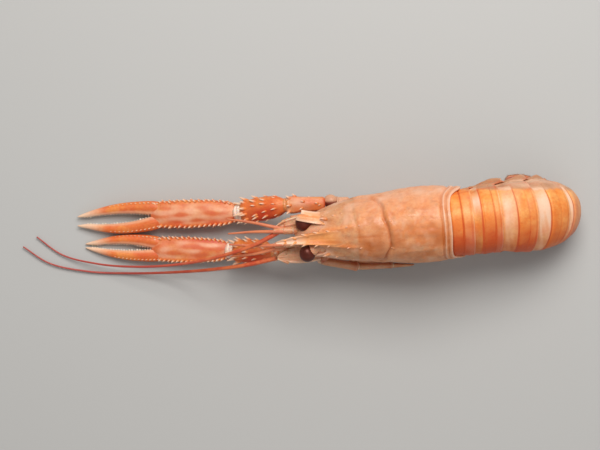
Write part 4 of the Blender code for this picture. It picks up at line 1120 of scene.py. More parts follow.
def jaw_legs(materials):
    """The outer mouthparts, folded forward under the head, with a saw edge and bristles."""
    skin, fringe = Skin(), Skin()
    for side in (-1, 1):
        path = lay(mirrored(JAW_LEG, side))
        limb(skin, path, JAW_LEG_RADII, 0.8)
        for start, end in zip(path[:-1], path[1:]):
            for t in np.linspace(0.1, 0.9, 8):
                root = start + (end - start) * t + (0, -side * 1.1, -0.3)
                skin.thorn(root, root + (-0.3, -side * 0.7, -0.3), 0.25, 6)
            roots = start + (end - start) * np.linspace(0.05, 0.95, 26)[:, None] + (0, -side * 0.8, -0.7)
            spread = chance.normal(0, 0.35, (26, 3))
            fringe.hairs(roots, roots + np.array([-0.5, -side * 0.9, -0.9]) + spread, 0.05)
    skin.piece("jaw_legs", materials["leg"], "leg_shell")
    fringe.piece("jaw_leg_bristles", materials["bristle"], "leg_shell")


def breastplate(materials):
    """Plates between the legs' roots, under the thorax."""
    skin = Skin()
    for i, x in enumerate((4.0, 9.6, 16.2, 23.0, 30.0)):
        for side in (-1, 1):
            centre = (x + 0.8, side * (2.6 + 0.2 * i), 8.9 + 0.12 * (x - 16) * (x > 16))
            ring = [
                oval(np.add(centre, (0, 0, -h)), (1, 0, 0), (0, side, 0), 3.1 * r, 2.4 * r, 20, 2.6)
                for h, r in ((-1.2, 0.9), (0.2, 1.0), (0.7, 0.82), (0.95, 0.4))
            ]
            skin.loft(lay(np.array(ring)), 0.5)
    return skin.piece("breastplate", materials["membrane"], "pale_membrane")


# ---------------------------------------------------------------- abdomen and tail fan


def ring_starts():
    """Arc lengths along the back at which the rings start, and the end of the last one."""
    lengths = [facet + shell for facet, shell in zip(FACET_LENGTHS, SHELL_LENGTHS)]
    return [0.0, *np.cumsum(lengths)]


STARTS = ring_starts()


def back_curve(step=0.1):
    """Arc length, x, z and heading along the middle of the abdomen's back, down to the tail fan."""
    level = 180.0
    end = STARTS[-1]
    keys = [*zip(STARTS, RING_START_HEADINGS), (end + 4.5, level), (end + TAIL_FAN_LENGTH, level)]
    s, (x, z) = 0.0, ABDOMEN_START
    found = []
    while s <= keys[-1][0]:
        heading = math.radians(min(keyed(s, keys), level))
        found.append((s, x, z, heading))
        x += step * math.cos(heading)
        z -= step * math.sin(heading)
        s += step
    return np.array(found)


BACK = back_curve()
BACK_DROP = BACK[:, 2].min()


def on_back(s):
    """(points, directions, inward directions) at arc lengths s, in the upright frame."""
    x, z, heading = (np.interp(s, BACK[:, 0], BACK[:, k]) for k in (1, 2, 3))
    sink = BACK_DROP * np.interp(s, (0.0, STARTS[4]), (0.0, 1.0))
    nothing = np.zeros_like(x)
    along = np.stack([np.cos(heading), nothing, -np.sin(heading)], -1)
    inward = np.stack([-np.sin(heading), nothing, -np.cos(heading)], -1)
    return np.stack([x, nothing, z - sink], -1), along, inward


def roll_share(s):
    """The share of the trunk's roll at arc lengths s. The tail's end lies level."""
    return np.interp(s, (STARTS[1], STARTS[5]), (1.0, 0.0))


def by_arc_length(s, table):
    """A table of the rings' starts, read at arc lengths s."""
    return keyed(s, list(zip(STARTS, table)))


def ring_sizes(s):
    """Half width, arch height, pleuron depth, belly depth and lean of the abdomen at arc lengths s."""
    tables = (RING_HALF_WIDTHS, RING_ARCH_HEIGHTS, PLEURON_DEPTHS, BELLY_DEPTHS, PLEURON_LEANS)
    return [by_arc_length(s, table) for table in tables]


def down_lobe(away):
    """How far down its side lobe a place of a ring lies, 0 above the lobe and 1 at its edge."""
    return np.clip((away - PLEURON_FROM) / (1 - PLEURON_FROM), 0, 1)


def ring_points(s, v, proud, lobe, flared=1.0):
    """Points of a tail ring's skin at arc lengths s and places v across it, from -1 to 1. proud lifts the
    skin, lobe is how far its side lobes hang, and flared is the share of their flare."""
    half_width, arch, pleuron, _, lean = ring_sizes(s)
    away, side = np.abs(v), np.sign(v)
    angle = np.radians(90) * np.clip(away / PLEURON_FROM, 0, 1)
    q = down_lobe(away)
    width = half_width + proud + (v < 0) * by_arc_length(s, LEFT_BULGES)
    flare = np.where(v > 0, PLEURON_FLARE[1], PLEURON_FLARE[-1]) * lobe * flared
    y = width * np.sin(angle) * (1.0 + 0.02 * np.sin(q * math.pi) - 0.07 * q**2) + flare * q**1.5
    hang = arch + (pleuron - arch) * lobe
    depth = -proud + (arch + proud) * (1 - np.cos(angle)) + (hang - arch) * q
    point, along, inward = on_back(s)
    lean = lean * q * np.maximum(lobe, LEAST_LEAN)
    place = point + inward * depth[..., None] + along * lean[..., None]
    place[..., 1] += side * y
    return place


class TailRing:
    """One overlapping shell of the tail, numbered i from the front. s and v are grids of arc lengths along
    the back and of places across it, from -1 at its left edge to 1 at its right one."""

    def __init__(self, i):
        self.i = i
        self.start = STARTS[i]
        self.facet, shell = FACET_LENGTHS[i], SHELL_LENGTHS[i]
        self.shell_start = self.start + self.facet
        hidden = HIDDEN_LENGTH if i else 0.0
        length = STARTS[i + 1] - self.start
        along = self.start - hidden + (length + hidden) * np.linspace(0, 1, RING_ROWS)
        self.s, self.v = np.meshgrid(along, np.linspace(-1, 1, RING_COLUMNS), indexing="ij")
        self.away = np.abs(self.v)
        self.down = down_lobe(self.away)
        self.share = np.clip((self.s - self.shell_start) / shell, -1, 1)
        self.whole = np.clip((self.s - self.start) / length, 0, 1)
        self.lobe = keyed(self.whole, LOBE_OUTLINE)
        self.curve = 0.9 * self.away**2
        groove, self.strength = CROSS_GROOVES[i]
        self.groove = groove - 0.06 * self.away

    def relief(self):
        """How far the shell stands out: a sunk facet, grooves, a swelling to the rear and dented lobes."""
        s, share, down, flatter = self.s, self.share, self.down, 1 - 0.5 * self.away
        sunk = STEP_HEIGHT * (1 - ramp(s, self.start + 0.35 * self.facet - 0.4, self.shell_start + 0.5))
        sunk = sunk * (1 - LEFT_STEP_LOSS * ramp(-self.v, 0.42, 0.6))
        proud = -sunk if self.i else -0.15 * (1 - ramp(s, self.start, self.start + 2))
        proud = proud - 0.26 * hump(s, self.shell_start + 0.9 - self.curve, 0.30) * flatter
        proud = proud - 0.32 * self.strength * hump(share, self.groove, 0.035) * flatter
        proud = proud + 0.14 * hump(share, 0.22, 0.16) + 0.12 * ramp(share, 0.55, 0.95)
        proud = proud - 0.12 * hump(share, 0.92, 0.025)
        proud = proud + 0.6 * down * sunk * bool(self.i)
        proud = proud + 0.20 * hump(down, 0.16, 0.10)
        proud = proud - 0.28 * hump(down, 0.5, 0.22) * hump(self.whole, 0.52, 0.26)
        return proud + 0.07 * waves(ring_points(s, self.v, proud, self.lobe), 6.0, 20 + self.i)

    def look_over(self, points, rolls):
        """Works out what the marks share: unevenness, the facet and its white, and the side lobes."""
        i, s, v = self.i, self.s, self.v
        self.blotch = 0.5 + 0.5 * waves(points, 6.0, 40 + i)
        self.streak = 0.5 + 0.5 * waves(points * (0.25, 1.0, 0.6), 2.4, 60 + i)
        self.cross_streak = 0.5 + 0.5 * waves(points * (1.0, 0.22, 0.22), 1.7, 90 + i)
        into_facet = ramp(s, self.start - 0.1, self.start + 0.28 * self.facet)
        self.in_facet = into_facet * (1 - ramp(s, self.shell_start - 0.1, self.shell_start + 0.25))
        self.white = self.facet_white()
        self.side = lay(points, rolls)[..., 1] + 0.35 * waves(points, 3.4, 80 + i)
        self.on_lobe = np.where(v > 0, ramp(self.side, *SHOULDER), ramp(-v, 0.60, 0.76))
        self.dull = np.clip(1 - self.white, 0, 1) * (1 - self.on_lobe)

    def facet_white(self):
        """The facet's white patch, and streaks of it towards the left. The third ring's is softer."""
        place, width, strength = WHITE_PATCHES[self.i]
        white = strength * hump(self.v, place, width)
        white = white + WHITE_STREAKS[self.i] * self.cross_streak * (1 - ramp(self.v, 0.0, 0.3))
        if self.i == 2:
            rear_part = ramp(self.s, self.start + 0.45 * self.facet, self.shell_start)
            white = white * (0.72 + 0.28 * ramp(self.v, 0.08, 0.28))
            white = white * (1 - 0.5 * rear_part * (1 - ramp(self.v, 0.25, 0.45)))
        return white

    def left_flank(self):
        """0 on the right and 1 on the left flank. The rear rings turn redder and darker more slowly."""
        if self.i > 1:
            return 0.35 * ramp(-self.v, -0.25, 0.15) + 0.65 * ramp(-self.v, 0.0, 0.5)
        return 0.5 * ramp(-self.v, -0.25, 0.1) + 0.5 * ramp(-self.v, 0.0, 0.35)

    def pale(self):
        """White facet, cream rear edge, and lobes that are cream towards their roots and edges."""
        i, v, share = self.i, self.v, self.share
        pale = self.in_facet * self.white * np.clip(0.78 + 0.4 * self.blotch, 0, 1.05)
        rim = 0.8 * hump(share, 1.0, 0.03) * (0.4 + 0.6 * self.white)
        behind = ramp(share, self.groove + 0.02, self.groove + 0.10) * self.strength
        pale = np.maximum(pale, rim + 0.16 * behind * self.blotch + 0.2 * (i > 3))
        if i == 2:
            pale = np.maximum(pale, 0.22 * (1 - self.blotch) * ramp(v, -0.05, 0.35) * (share > 0))
        towards_root = 0.2 + 0.55 * (1 - ramp(self.down, 0.05, 0.6))
        # Painted shade: the lobes of the first two rings are kept less cream, where shadow falls on them.
        on_lobe = self.on_lobe * self.streak * towards_root * (0.3 if i < 2 else 1.0)
        on_lobe = on_lobe + 0.6 * (v > 0) * hump(self.side, 11.3, 0.7) * self.in_facet * bool(i)
        on_lobe = on_lobe + 0.5 * self.on_lobe * ramp(self.down, 0.86, 0.98) * (0.4 + 0.6 * self.streak)
        return np.clip(np.maximum(pale * (1 - self.on_lobe), on_lobe), 0, 1)

    def deep(self):
        """Left flank redder and darker, partly red shell and partly painted shade; grooves and lobe edges,
        and fine mottling.
        """
        i, v, share = self.i, self.v, self.share
        flank = self.left_flank()
        edge = self.shell_start + 0.35 - 0.4 * self.curve
        deep = 0.75 * hump(self.s, edge, 0.3) + 0.25 * hump(share, 0.9, 0.035)
        # The left flank, away from the light, is made redder and darker: partly red shell, partly painted
        # shade.
        deep = deep + LEFT_FLANK_RED_AND_SHADE[i] * flank * (1 - 0.5 * self.in_facet)
        deep = deep + 0.8 * self.strength * hump(share, self.groove, 0.03)
        deep = deep + 0.18 * self.in_facet * self.dull * (1 - self.streak)
        mottling = 0.26 * (1 - self.blotch) + 0.24 * (1 - self.streak)
        deep = deep + MOTTLING[i] * mottling * (share > 0) * (0.45 + 0.55 * flank)
        deep = deep * (1 - 0.75 * self.on_lobe * (v > 0))
        deep = deep + 0.45 * hump(self.away, 0.58, 0.02) + 0.5 * self.on_lobe * ramp(self.whole, 0.85, 1.0)
        return np.clip(deep, 0, 1)

    def tan(self):
        """Dull lobes, partly their own duller shell and partly painted shade, and dull streaks in the facet
        outside its white.
        """
        streaks = 0.4 * self.in_facet * self.dull * (1 - self.cross_streak) * bool(self.i)
        return np.clip(0.9 * self.on_lobe + streaks, 0, 1)


def tail_rings(materials):
    """Six overlapping shells, each a separate plate with a free rear edge, a smooth pale front facet, cross
    grooves and a hanging lobe on each side."""
    for i in range(len(SHELL_LENGTHS)):
        ring = TailRing(i)
        proud = ring.relief()
        inside = proud - RING_THICKNESS + LOBE_THINNING * ring.down
        flared = 1.0 if i else FIRST_LOBE_FLARE
        outer, inner = (ring_points(ring.s, ring.v, level, ring.lobe, flared) for level in (proud, inside))
        rolls = roll_share(ring.s)
        ring.look_over(outer, rolls)
        skin = Skin()
        skin.slab(lay(outer, rolls), lay(inner, rolls), ring.pale(), ring.deep(), ring.tan())
        skin.piece(f"tail_ring_{i + 1}", materials["tail"], "shell")


def tail_flesh(materials):
    """What shows between and under the tail rings: the belly's skin with a bar across each ring."""
    s_line = np.linspace(0.0, STARTS[-1], 150)
    angles = np.linspace(0, 2 * math.pi, 96, endpoint=False)
    s, a = np.meshgrid(s_line, angles, indexing="ij")
    half_width, arch, _, belly, _ = ring_sizes(s)
    bars = sum(hump(s, start - 0.2, 0.9) for start in STARTS[1:-1])
    c = np.cos(a)
    wide = half_width - 1.3
    y = wide * np.sign(np.sin(a)) * np.abs(np.sin(a)) ** np.where(c > 0, 1.0, 0.55)
    y = y * (1 + (y < 0) * by_arc_length(s, LEFT_BULGES) / wide)
    lower = belly + 0.35 * bars - arch
    depth = np.where(c > 0, 1.2 + (arch - 1.2) * (1 - c), arch + lower * np.abs(c) ** 0.5)
    point, _, inward = on_back(s)
    place = point + inward * depth[..., None]
    place[..., 1] += y
    skin = Skin()
    skin.loft(lay(place, roll_share(s)), 0.4 + 0.4 * bars)
    return skin.piece("tail_flesh", materials["membrane"], "pale_membrane")


def fan_leaf(skin, fringe, ends_across, size, height, ribs, blunt, painted_shade=0.0):
    """One leaf of the tail fan: a thin ribbed plate with a fringe of bristles along its free end. ends_across
    is how far out its root and its end lie, and size is its length and half width."""
    (root_across, reach_across), (length, half_width) = ends_across, size
    root = on_back(np.array(STARTS[-1] + 1.0))[0]
    u, v = np.meshgrid(np.linspace(0, 1, 60), np.linspace(-1, 1, 41), indexing="ij")
    rounding = ((0.86, blunt), (0.96, blunt * 0.72), (1, blunt * 0.42))
    width = keyed(u, [(0, 0.5), (0.15, 0.78), (0.45, 0.98), (0.7, 1.0), *rounding])
    lie = root_across + (reach_across - root_across) * u + v * width * half_width
    along = root[0] + 1.0 - u * length
    relief = sum(0.28 * hump(v, rib, 0.07) for rib in ribs) * (1 - ramp(u, 0.75, 0.97))
    edge = 1 - np.maximum(np.abs(v) ** 6, u**10)
    top_z = height + 0.45 + (0.75 + relief) * np.clip(edge, 0, 1) ** 0.6
    low_z = height + 0.25 - (0.2 + relief) * np.clip(edge, 0, 1) ** 0.6
    top = lay(np.stack([along, lie, top_z], -1), 0.0)
    bottom = lay(np.stack([along, lie, low_z], -1), 0.0)
    pale = 0.25 + 0.5 * ramp(u, 0.82, 1.0) + 0.3 * ramp(np.abs(v), 0.8, 1.0)
    # An extra deep mark passed in makes the whole leaf dark red as painted shade.
    deep = 0.35 * (1 - ramp(u, 0.0, 0.5)) + sum(0.3 * hump(v, rib, 0.08) for rib in ribs) + painted_shade
    skin.slab(top, bottom, pale * (1 - painted_shade), np.clip(deep, 0, 1))
    rim = smooth_path([*top[30:, 0], *top[-1, 1:-1], *top[:29:-1, -1]], 260)
    middle = top[30, 20]
    outward = unit(rim - middle) * (1, 1, 0)
    spread = chance.normal(0, 0.12, (260, 3)) * (1, 1, 0.4)
    tips = rim + outward * chance.uniform(0.4, 0.8, (260, 1)) + spread - (0, 0, 0.15)
    fringe.hairs(rim - (0, 0, 0.2), tips, 0.06)


def tail_fan(materials):
    """Telson and two leaves on each side of it, folded flat under the curl."""
    skin, fringe = Skin(), Skin()
    fan_leaf(skin, fringe, (0.0, 0.0), (TAIL_FAN_LENGTH, 5.3), 0.0, (-0.55, 0.0, 0.55), 0.9)
    for side in (-1, 1):
        inner, outer = (side * 4.0, side * 7.6), (side * 5.0, side * FAN_SPREAD[side])
        fan_leaf(skin, fringe, inner, (TAIL_FAN_LENGTH, 4.3), 0.5, (0.0, side * 0.6), 0.8)
        # The outer leaves are made dark red as painted shade.
        fan_leaf(skin, fringe, outer, (TAIL_FAN_LENGTH - 1.0, 4.4), 1.0, (0.1, side * 0.75), 0.8, 0.7)
    skin.piece("tail_fan", materials["fan"], "shell")
    fringe.piece("tail_fan_fringe", materials["bristle"], "leg_shell")


def swimmerets(materials):
    """Pairs of two-bladed paddles under the abdomen, folded forward inside the curl."""
    skin, fringe = Skin(), Skin()
    for side in (-1, 1):
        for i in range(1, 5):
            s = np.array(STARTS[i] + 0.5 * (STARTS[i + 1] - STARTS[i]))
            point, along, inward = on_back(s)
            belly = ring_sizes(s)[3]
            root = point + inward * (belly - 1.0) + np.array([0.0, side * 5.0, 0.0])
            for blade, spread in ((0, 1.2), (1, -0.9)):
                mid = root + inward * 4.6 - along * (1.6 - 0.5 * blade) + (0.0, side * spread, 0.0)
                tip = root + inward * (9.0 - blade) - along * 5.4 + (0.0, side * spread * 1.6, 0.0)
                path = lay(smooth_path([root, mid, tip], 24), roll_share(s))
                radii = keyed(np.linspace(0, 1, 24), PADDLE_RADII)
                skin.loft(limb_rings(path, radii, 20, 0.3), 0.5)
                rim = path[10:]
                for way in (-1, 1):
                    ends = rim + np.array([0.2, way * 2.4, -0.6]) + chance.normal(0, 0.2, rim.shape)
                    fringe.hairs(rim + (0, way * 0.8, 0), ends, 0.05)
    skin.piece("swimmerets", materials["leg"], "leg_shell")
    fringe.piece("swimmeret_bristles", materials["bristle"], "leg_shell")


# ---------------------------------------------------------------- claws and legs


def hand_frame(claw):
    """Directions of a hand: ahead, towards the moving finger, and up."""
    heading = math.radians(claw["heading"])
    drop = math.radians(HAND_SLOPE)
    level = math.cos(drop)
    ahead = np.array([math.cos(heading) * level, math.sin(heading) * level, -math.sin(drop)])
    inner = unit(np.cross((0.0, 0.0, 1.0), ahead)) * claw["side"]
    up = unit(np.cross(ahead, inner)) * claw["side"]
    return ahead, inner, np.abs(up[2]) / up[2] * up


def hand_point(claw, u, v, w):
    """Points of the hand: u ahead of the wrist, v towards the moving finger, w up, in millimetres."""
    ahead, inner, up = hand_frame(claw)
    base = np.array(claw["wrist"], float) + (0.0, 0.0, -HAND_BELOW_WRIST)
    return base + np.multiply.outer(u, ahead) + np.multiply.outer(v, inner) + np.multiply.outer(w, up)


def keeled(angles, depth, width=11.0):
    """Share by which keels stand out at angles round a hand, in degrees from the moving finger's side."""
    ridges = sum(hump((angles - keel + 180) % 360 - 180, 0, width) for keel in KEEL_ANGLES)
    return 1 - depth * 0.45 + depth * ridges


def palm(skin, claw):
    """The long palm with four keels, and rows of cream-tipped beads along them and along both sides."""
    length = claw["length"] * PALM_SHARE
    t, angles = np.meshgrid(np.linspace(0, 1.03, 72), np.linspace(0, 360, 96, endpoint=False), indexing="ij")
    c, s = cos_sin(angles)
    reach = keeled(angles, PALM_KEEL_DEPTH)
    half_width = claw["half_width"] * keyed(t, PALM_WIDTHS)
    half_thickness = PALM_HALF_THICKNESS * keyed(t, PALM_THICKNESSES)
    rings = hand_point(claw, t * length, c * half_width * reach, s * half_thickness * reach)
    skin.loft(rings, *palm_marks(claw, t, c, s, reach, rings))
    for row, keel in enumerate((*KEEL_ANGLES, 0, 180)):
        count, scale = (17, 1.0) if row < len(KEEL_ANGLES) else (12, 0.7)
        for share in 0.07 + 0.9 * np.arange(count) / (count - 1):
            size = chance.uniform(0.75, 1.15) * scale
            bead_on_hand(skin, claw, share, keel + chance.normal(0, 1.5), size, length)


def palm_marks(claw, t, c, s, reach, points):
    """Pale, deep and tan of a palm: cream below and in the valleys between its keels, redder on top towards
    the moving finger's side. c and s tell how far a place lies to that side and up."""
    ahead, inner, up = hand_frame(claw)
    grain = np.stack([points @ ahead * 0.3, points @ inner, points @ up], -1)
    streaks = 0.5 + 0.5 * waves(grain, 2.6, 33)
    patches = 0.5 + 0.5 * waves(points, 7.0, 34)
    valley = 1 - np.clip((reach - 0.94) / 0.10, 0, 1)
    under = ramp(-s, 0.1, 0.75)
    pale = 0.45 * valley * ramp(s, 0.1, 0.5) * ramp(streaks * 0.6 + patches * 0.4, 0.3, 0.8)
    towards_finger = 0.4 + 0.6 * ramp(c, -0.5, 0.9)
    redder = (0.6 + 0.35 * (1 - patches)) * (1 - 0.6 * t) * towards_finger * (1 - 0.35 * valley)
    deep = (redder + 0.3 * ramp(1 - streaks, 0.45, 0.9)) * (1 - under)
    tan = 0.35 * valley * (1 - under) * (1 - streaks)
    return np.clip(pale + 0.85 * under, 0, 1), np.clip(deep, 0, 1), tan


def bead_on_hand(skin, claw, share, degrees, size, length):
    """One bead of a palm's keel, leaning towards the fingers."""
    ahead, inner, up = hand_frame(claw)
    half_width = claw["half_width"] * keyed(share, PALM_WIDTHS)
    half_thickness = PALM_HALF_THICKNESS * keyed(share, PALM_THICKNESSES)
    reach = keeled(np.array(float(degrees)), PALM_KEEL_DEPTH) * 0.98
    c, s = cos_sin(degrees)
    root = hand_point(claw, share * length, c * half_width * reach, s * half_thickness * reach)
    out = unit(inner * c + up * s)
    skin.thorn(root, root + out * 0.85 * size + ahead * 0.75 * size, 0.48 * size, 8, 0.1)


def finger(skin, teeth, claw, moving):
    """A keeled, curved finger with a hooked cream tip, beads on its back and blunt teeth on its bite."""
    start = claw["length"] * PALM_SHARE - FINGER_ROOT_DEPTH
    length = claw["length"] - start
    ahead, inner, up = hand_frame(claw)
    gape = math.radians(claw["gape"]) if moving else 0.0
    way = 1 if moving else -1
    root_v = claw["half_width"] * 0.44 * way
    bow = claw["half_width"] * (0.2 if moving else -0.12)
    thickness = claw["half_width"] * 0.52
    angles = np.linspace(0, 360, 40, endpoint=False)
    c, s = cos_sin(angles)
    under = ramp(-s, 0.1, 0.75)
    bite = ramp(-way * c, 0.3, 0.9)
    rings, pale, deep, line = [], [], [], []
    for t in np.linspace(0, 1, 60):
        u = length * t * 0.985
        v = bow * math.sin(math.pi * min(t * 1.15, 1.0)) - (root_v * 0.75 + 0.6 * way) * t**3
        taper = keyed(t, FINGER_TAPER)
        reach = keeled(angles, 0.16 * (1 - t), 13)
        u_ring, v_ring = turned(np.full(len(angles), u), v + c * thickness * taper * reach, gape)
        rings.append(hand_point(claw, start + u_ring, root_v + v_ring, -0.4 * t + s * 2.7 * taper * reach))
        line.append((t, *turned(u, v, gape), taper))
        pale.append(np.clip(0.9 * under + 0.6 * bite + 0.95 * ramp(t, 0.62, 0.95), 0, 1))
        deep.append(0.4 * (1 - under) * (1 - bite) * (1 - ramp(t, 0.1, 0.6)))
    skin.loft(rings, np.array(pale), np.array(deep))
    for t, u, v, taper in line[4:56:2]:
        root = hand_point(claw, start + u, root_v + v - way * thickness * taper * 0.93, -0.4 * t)
        size = chance.uniform(0.55, 1.0) * (0.35 + taper * 0.6)
        teeth.thorn(root, root - inner * way * 0.75 * size + ahead * 0.1, 0.6 * size, 8, -0.6)
    for keel in (52, -52) if moving else (128, 232):
        c, s = cos_sin(keel)
        for t, u, v, taper in line[3:38:3]:
            out_v = root_v + v + c * claw["half_width"] * 0.5 * taper
            root = hand_point(claw, start + u, out_v, -0.4 * t + s * 2.6 * taper)
            size = 0.75 * taper
            tip = root + (inner * c + up * s) * 0.7 * size + ahead * 0.8 * size
            skin.thorn(root, tip, 0.42 * size, 7, 0.1)


def flat_ring(centre, side, up, radius, degrees):
    """Points round an arm's segment, which is lower than it is wide. radius is one value or one for each."""
    c, s = cos_sin(degrees)
    return centre + np.outer(c * radius, side) + np.outer(s * ARM_FLATNESS * radius, up)


def upper_arm(shell, path, claw):
    """The keeled upper arm, cream below and on its outer side, with thorns towards the elbow."""
    shares = np.linspace(0.385, 0.98, len(path))
    radii = keyed(shares, UPPER_ARM_RADII) * (1 - 0.5 * hump(shares, 0.375, 0.012))
    ahead = unit(np.gradient(path, axis=0))
    side, up = across(ahead)
    angles = np.linspace(0, 360, 64, endpoint=False)
    reach = keeled(angles, 0.10, 15)
    rings = [flat_ring(p, a, b, r * reach, angles) for p, a, b, r in zip(path, side, up, radii)]
    along = shares[:, None]
    under = ramp(-cos_sin(angles)[1], 0.0, 0.7)
    outside = hump(angles, 145 if claw["side"] < 0 else 35, 16)
    streaks = 0.5 + 0.5 * waves(np.array(rings) * (0.4, 1.0, 1.0), 3.0, 31)
    pale = 0.8 * under + 0.7 * outside * hump(along, 0.72, 0.2) * streaks + 0.3 * hump(along, 0.94, 0.03)
    pale = pale + 0.32 * hump(along, 0.78, 0.13) * hump(angles, 90, 45) * (0.5 + 0.5 * streaks)
    deep = 0.4 * (1 - ramp(along, 0.7, 0.9)) * (1 - under) * (1 - outside) + 0.5 * hump(along, 0.385, 0.03)
    shell.loft(rings, np.clip(pale, 0, 1), np.clip(deep, 0, 1), 0.75 * streaks)
    for share, degrees, size in UPPER_ARM_THORNS:
        k = int(np.searchsorted(shares, share))
        c, s = cos_sin(degrees)
        out = side[k] * c + up[k] * s * ARM_FLATNESS
        root = path[k] + out * radii[k] * 0.93
        shell.thorn(root, root + out * 1.1 * size + ahead[k] * size, 0.5 * size, 10, 0.15)


def forearm(shell, elbow, wrist):
    """The stout forearm, redder on the animal's left, with rings of thorns and three long ones in front."""
    axis = unit(wrist - elbow)
    side, up = across(axis)
    shares = np.linspace(-0.02, 0.97, 44)
    angles = np.linspace(0, 360, 64, endpoint=False)
    c, s = cos_sin(angles)
    reach = keeled(angles, 0.07, 16)
    radii = keyed(shares, FOREARM_RADII)
    centres = [elbow + (wrist - elbow) * share for share in shares]
    rings = [flat_ring(p, side, up, r * reach, angles) for p, r in zip(centres, radii)]
    along = shares[:, None]
    under = ramp(-s, 0.0, 0.7)
    towards_left = ramp(c if side[1] < 0 else -c, -0.5, 0.35)
    pale = 0.6 * under + 0.6 * hump(along, 0.99, 0.03)
    deep = (0.15 + 0.85 * towards_left) * (1 - 0.5 * under) * hump(along, 0.45, 0.5)
    shell.loft(rings, np.clip(pale, 0, 1), deep)
    for share in (0.16, 0.38, 0.6, 0.84):
        for degrees in (5, 38, 68, 98, 128, 160):
            c, s = cos_sin(degrees + chance.normal(0, 5))
            size = chance.uniform(0.75, 1.15) * (0.65 + 0.65 * share)
            out = unit(side * c + up * s * ARM_FLATNESS)
            radius = keyed(share, FOREARM_RADII)
            root = elbow + (wrist - elbow) * share + side * c * radius * 0.95 + up * s * radius * 0.81
            shell.thorn(root, root + out * 1.2 * size + axis * 1.7 * size, 0.5 * size, 10, 0.0)
    for degrees in (28, 100, 152):
        c, s = cos_sin(degrees)
        out = unit(side * c + up * s * ARM_FLATNESS)
        root = wrist - axis * 1.4 + out * 2.9
        shell.thorn(root, root + out * 1.4 + axis * 3.2, 0.75, 12, -0.2)


def joint_skin(skin, centre, axis, width, pale, deep):
    """A soft folded band of skin round an arm's joint."""
    side, up = across(axis)
    rings = []
    for h in np.linspace(-2.4, 2.4, 25):
        half_width = width * (0.94 + 0.06 * math.cos(h * 4.2)) * math.sqrt(1 - (h / 3.6) ** 2)
        ring = oval(centre + axis * h, side, up, half_width, half_width * ARM_FLATNESS, 48)
        rings.append(ring + 0.12 * waves(ring, 2.2, 8)[:, None] * unit(ring - centre))
    skin.loft(rings, pale, deep)


def arm(shell, membrane, roots, claw):
    """Two short root segments, upper arm and forearm. The elbow's skin is dark and the wrist's pale."""
    shoulder, elbow, wrist = (np.array(claw[k], float) for k in ("shoulder", "elbow", "wrist"))
    path = smooth_path([shoulder, shoulder * 0.55 + elbow * 0.45 + (0, 0, 0.6), elbow], 97)
    first, second = path[20], path[37]
    bone(roots, shoulder, first, 2.1, 2.3, 0.9, pale=0.35)
    outward = np.array((0.0, ROOT_KNOB_OUTWARD * claw["side"], 0.0))
    ball_joint(roots, first + outward, second + outward, ROOT_KNOB_RADIUS, claw["side"])
    upper_arm(shell, path[37:-1:2], claw)
    forearm(shell, elbow, wrist)
    axis = unit(wrist - elbow)
    joint_skin(membrane, elbow - axis * 0.4, axis, 2.5, 0.0, 1.0)
    joint_skin(membrane, wrist + axis * 0.2, axis, 3.2, 0.8, 0.0)


def ball_joint(skin, start, end, radius, side):
    """A round knob between two points, dull on top, with a painted shadow in dark red along its inner and
    lower side.
    """
    shares = np.linspace(-0.12, 1.12, 22)
    c, s = cos_sin(np.linspace(0, 360, 36, endpoint=False))
    round_off = np.sqrt(np.clip(1.02 - ((shares - 0.5) / 0.62) ** 2, 0.01, 1))
    path = start + np.outer(shares, end - start)
    # Painted shadow: the knob's inner and lower side is made dark red, where shade falls in the gap.
    painted_shadow = np.maximum(0.95 * ramp(-side * c, -0.15, 0.3), 0.4 * ramp(-s, 0.3, 0.8))
    deep = np.broadcast_to(painted_shadow, (len(shares), len(c)))
    skin.loft(limb_rings(path, radius * round_off, len(c), 0.9), 0.25 * (1 - deep), deep, 0.45 * (1 - deep))


def claws(materials):
    """Both claws: arm, hand with its fixed finger, moving finger and teeth."""
    membrane, roots = Skin(), Skin()
    for name, claw in (("right", RIGHT_CLAW), ("left", LEFT_CLAW)):
        upper, hand, teeth = Skin(), Skin(), Skin()
        arm(upper, membrane, roots, claw)
        palm(hand, claw)
        finger(hand, teeth, claw, False)
        upper.piece(f"{name}_arm", materials["claw"], "claw_shell")
        hand.piece(f"{name}_hand", materials["claw"], "claw_shell")
        thumb = Skin()
        finger(thumb, teeth, claw, True)
        thumb.piece(f"{name}_moving_finger", materials["claw"], "claw_shell")
        teeth.piece(f"{name}_claw_teeth", materials["membrane"], "pale_membrane")
    membrane.piece("claw_joint_skin", materials["membrane"], "pale_membrane")
    roots.piece("claw_roots", materials["arm_root"], "leg_shell")


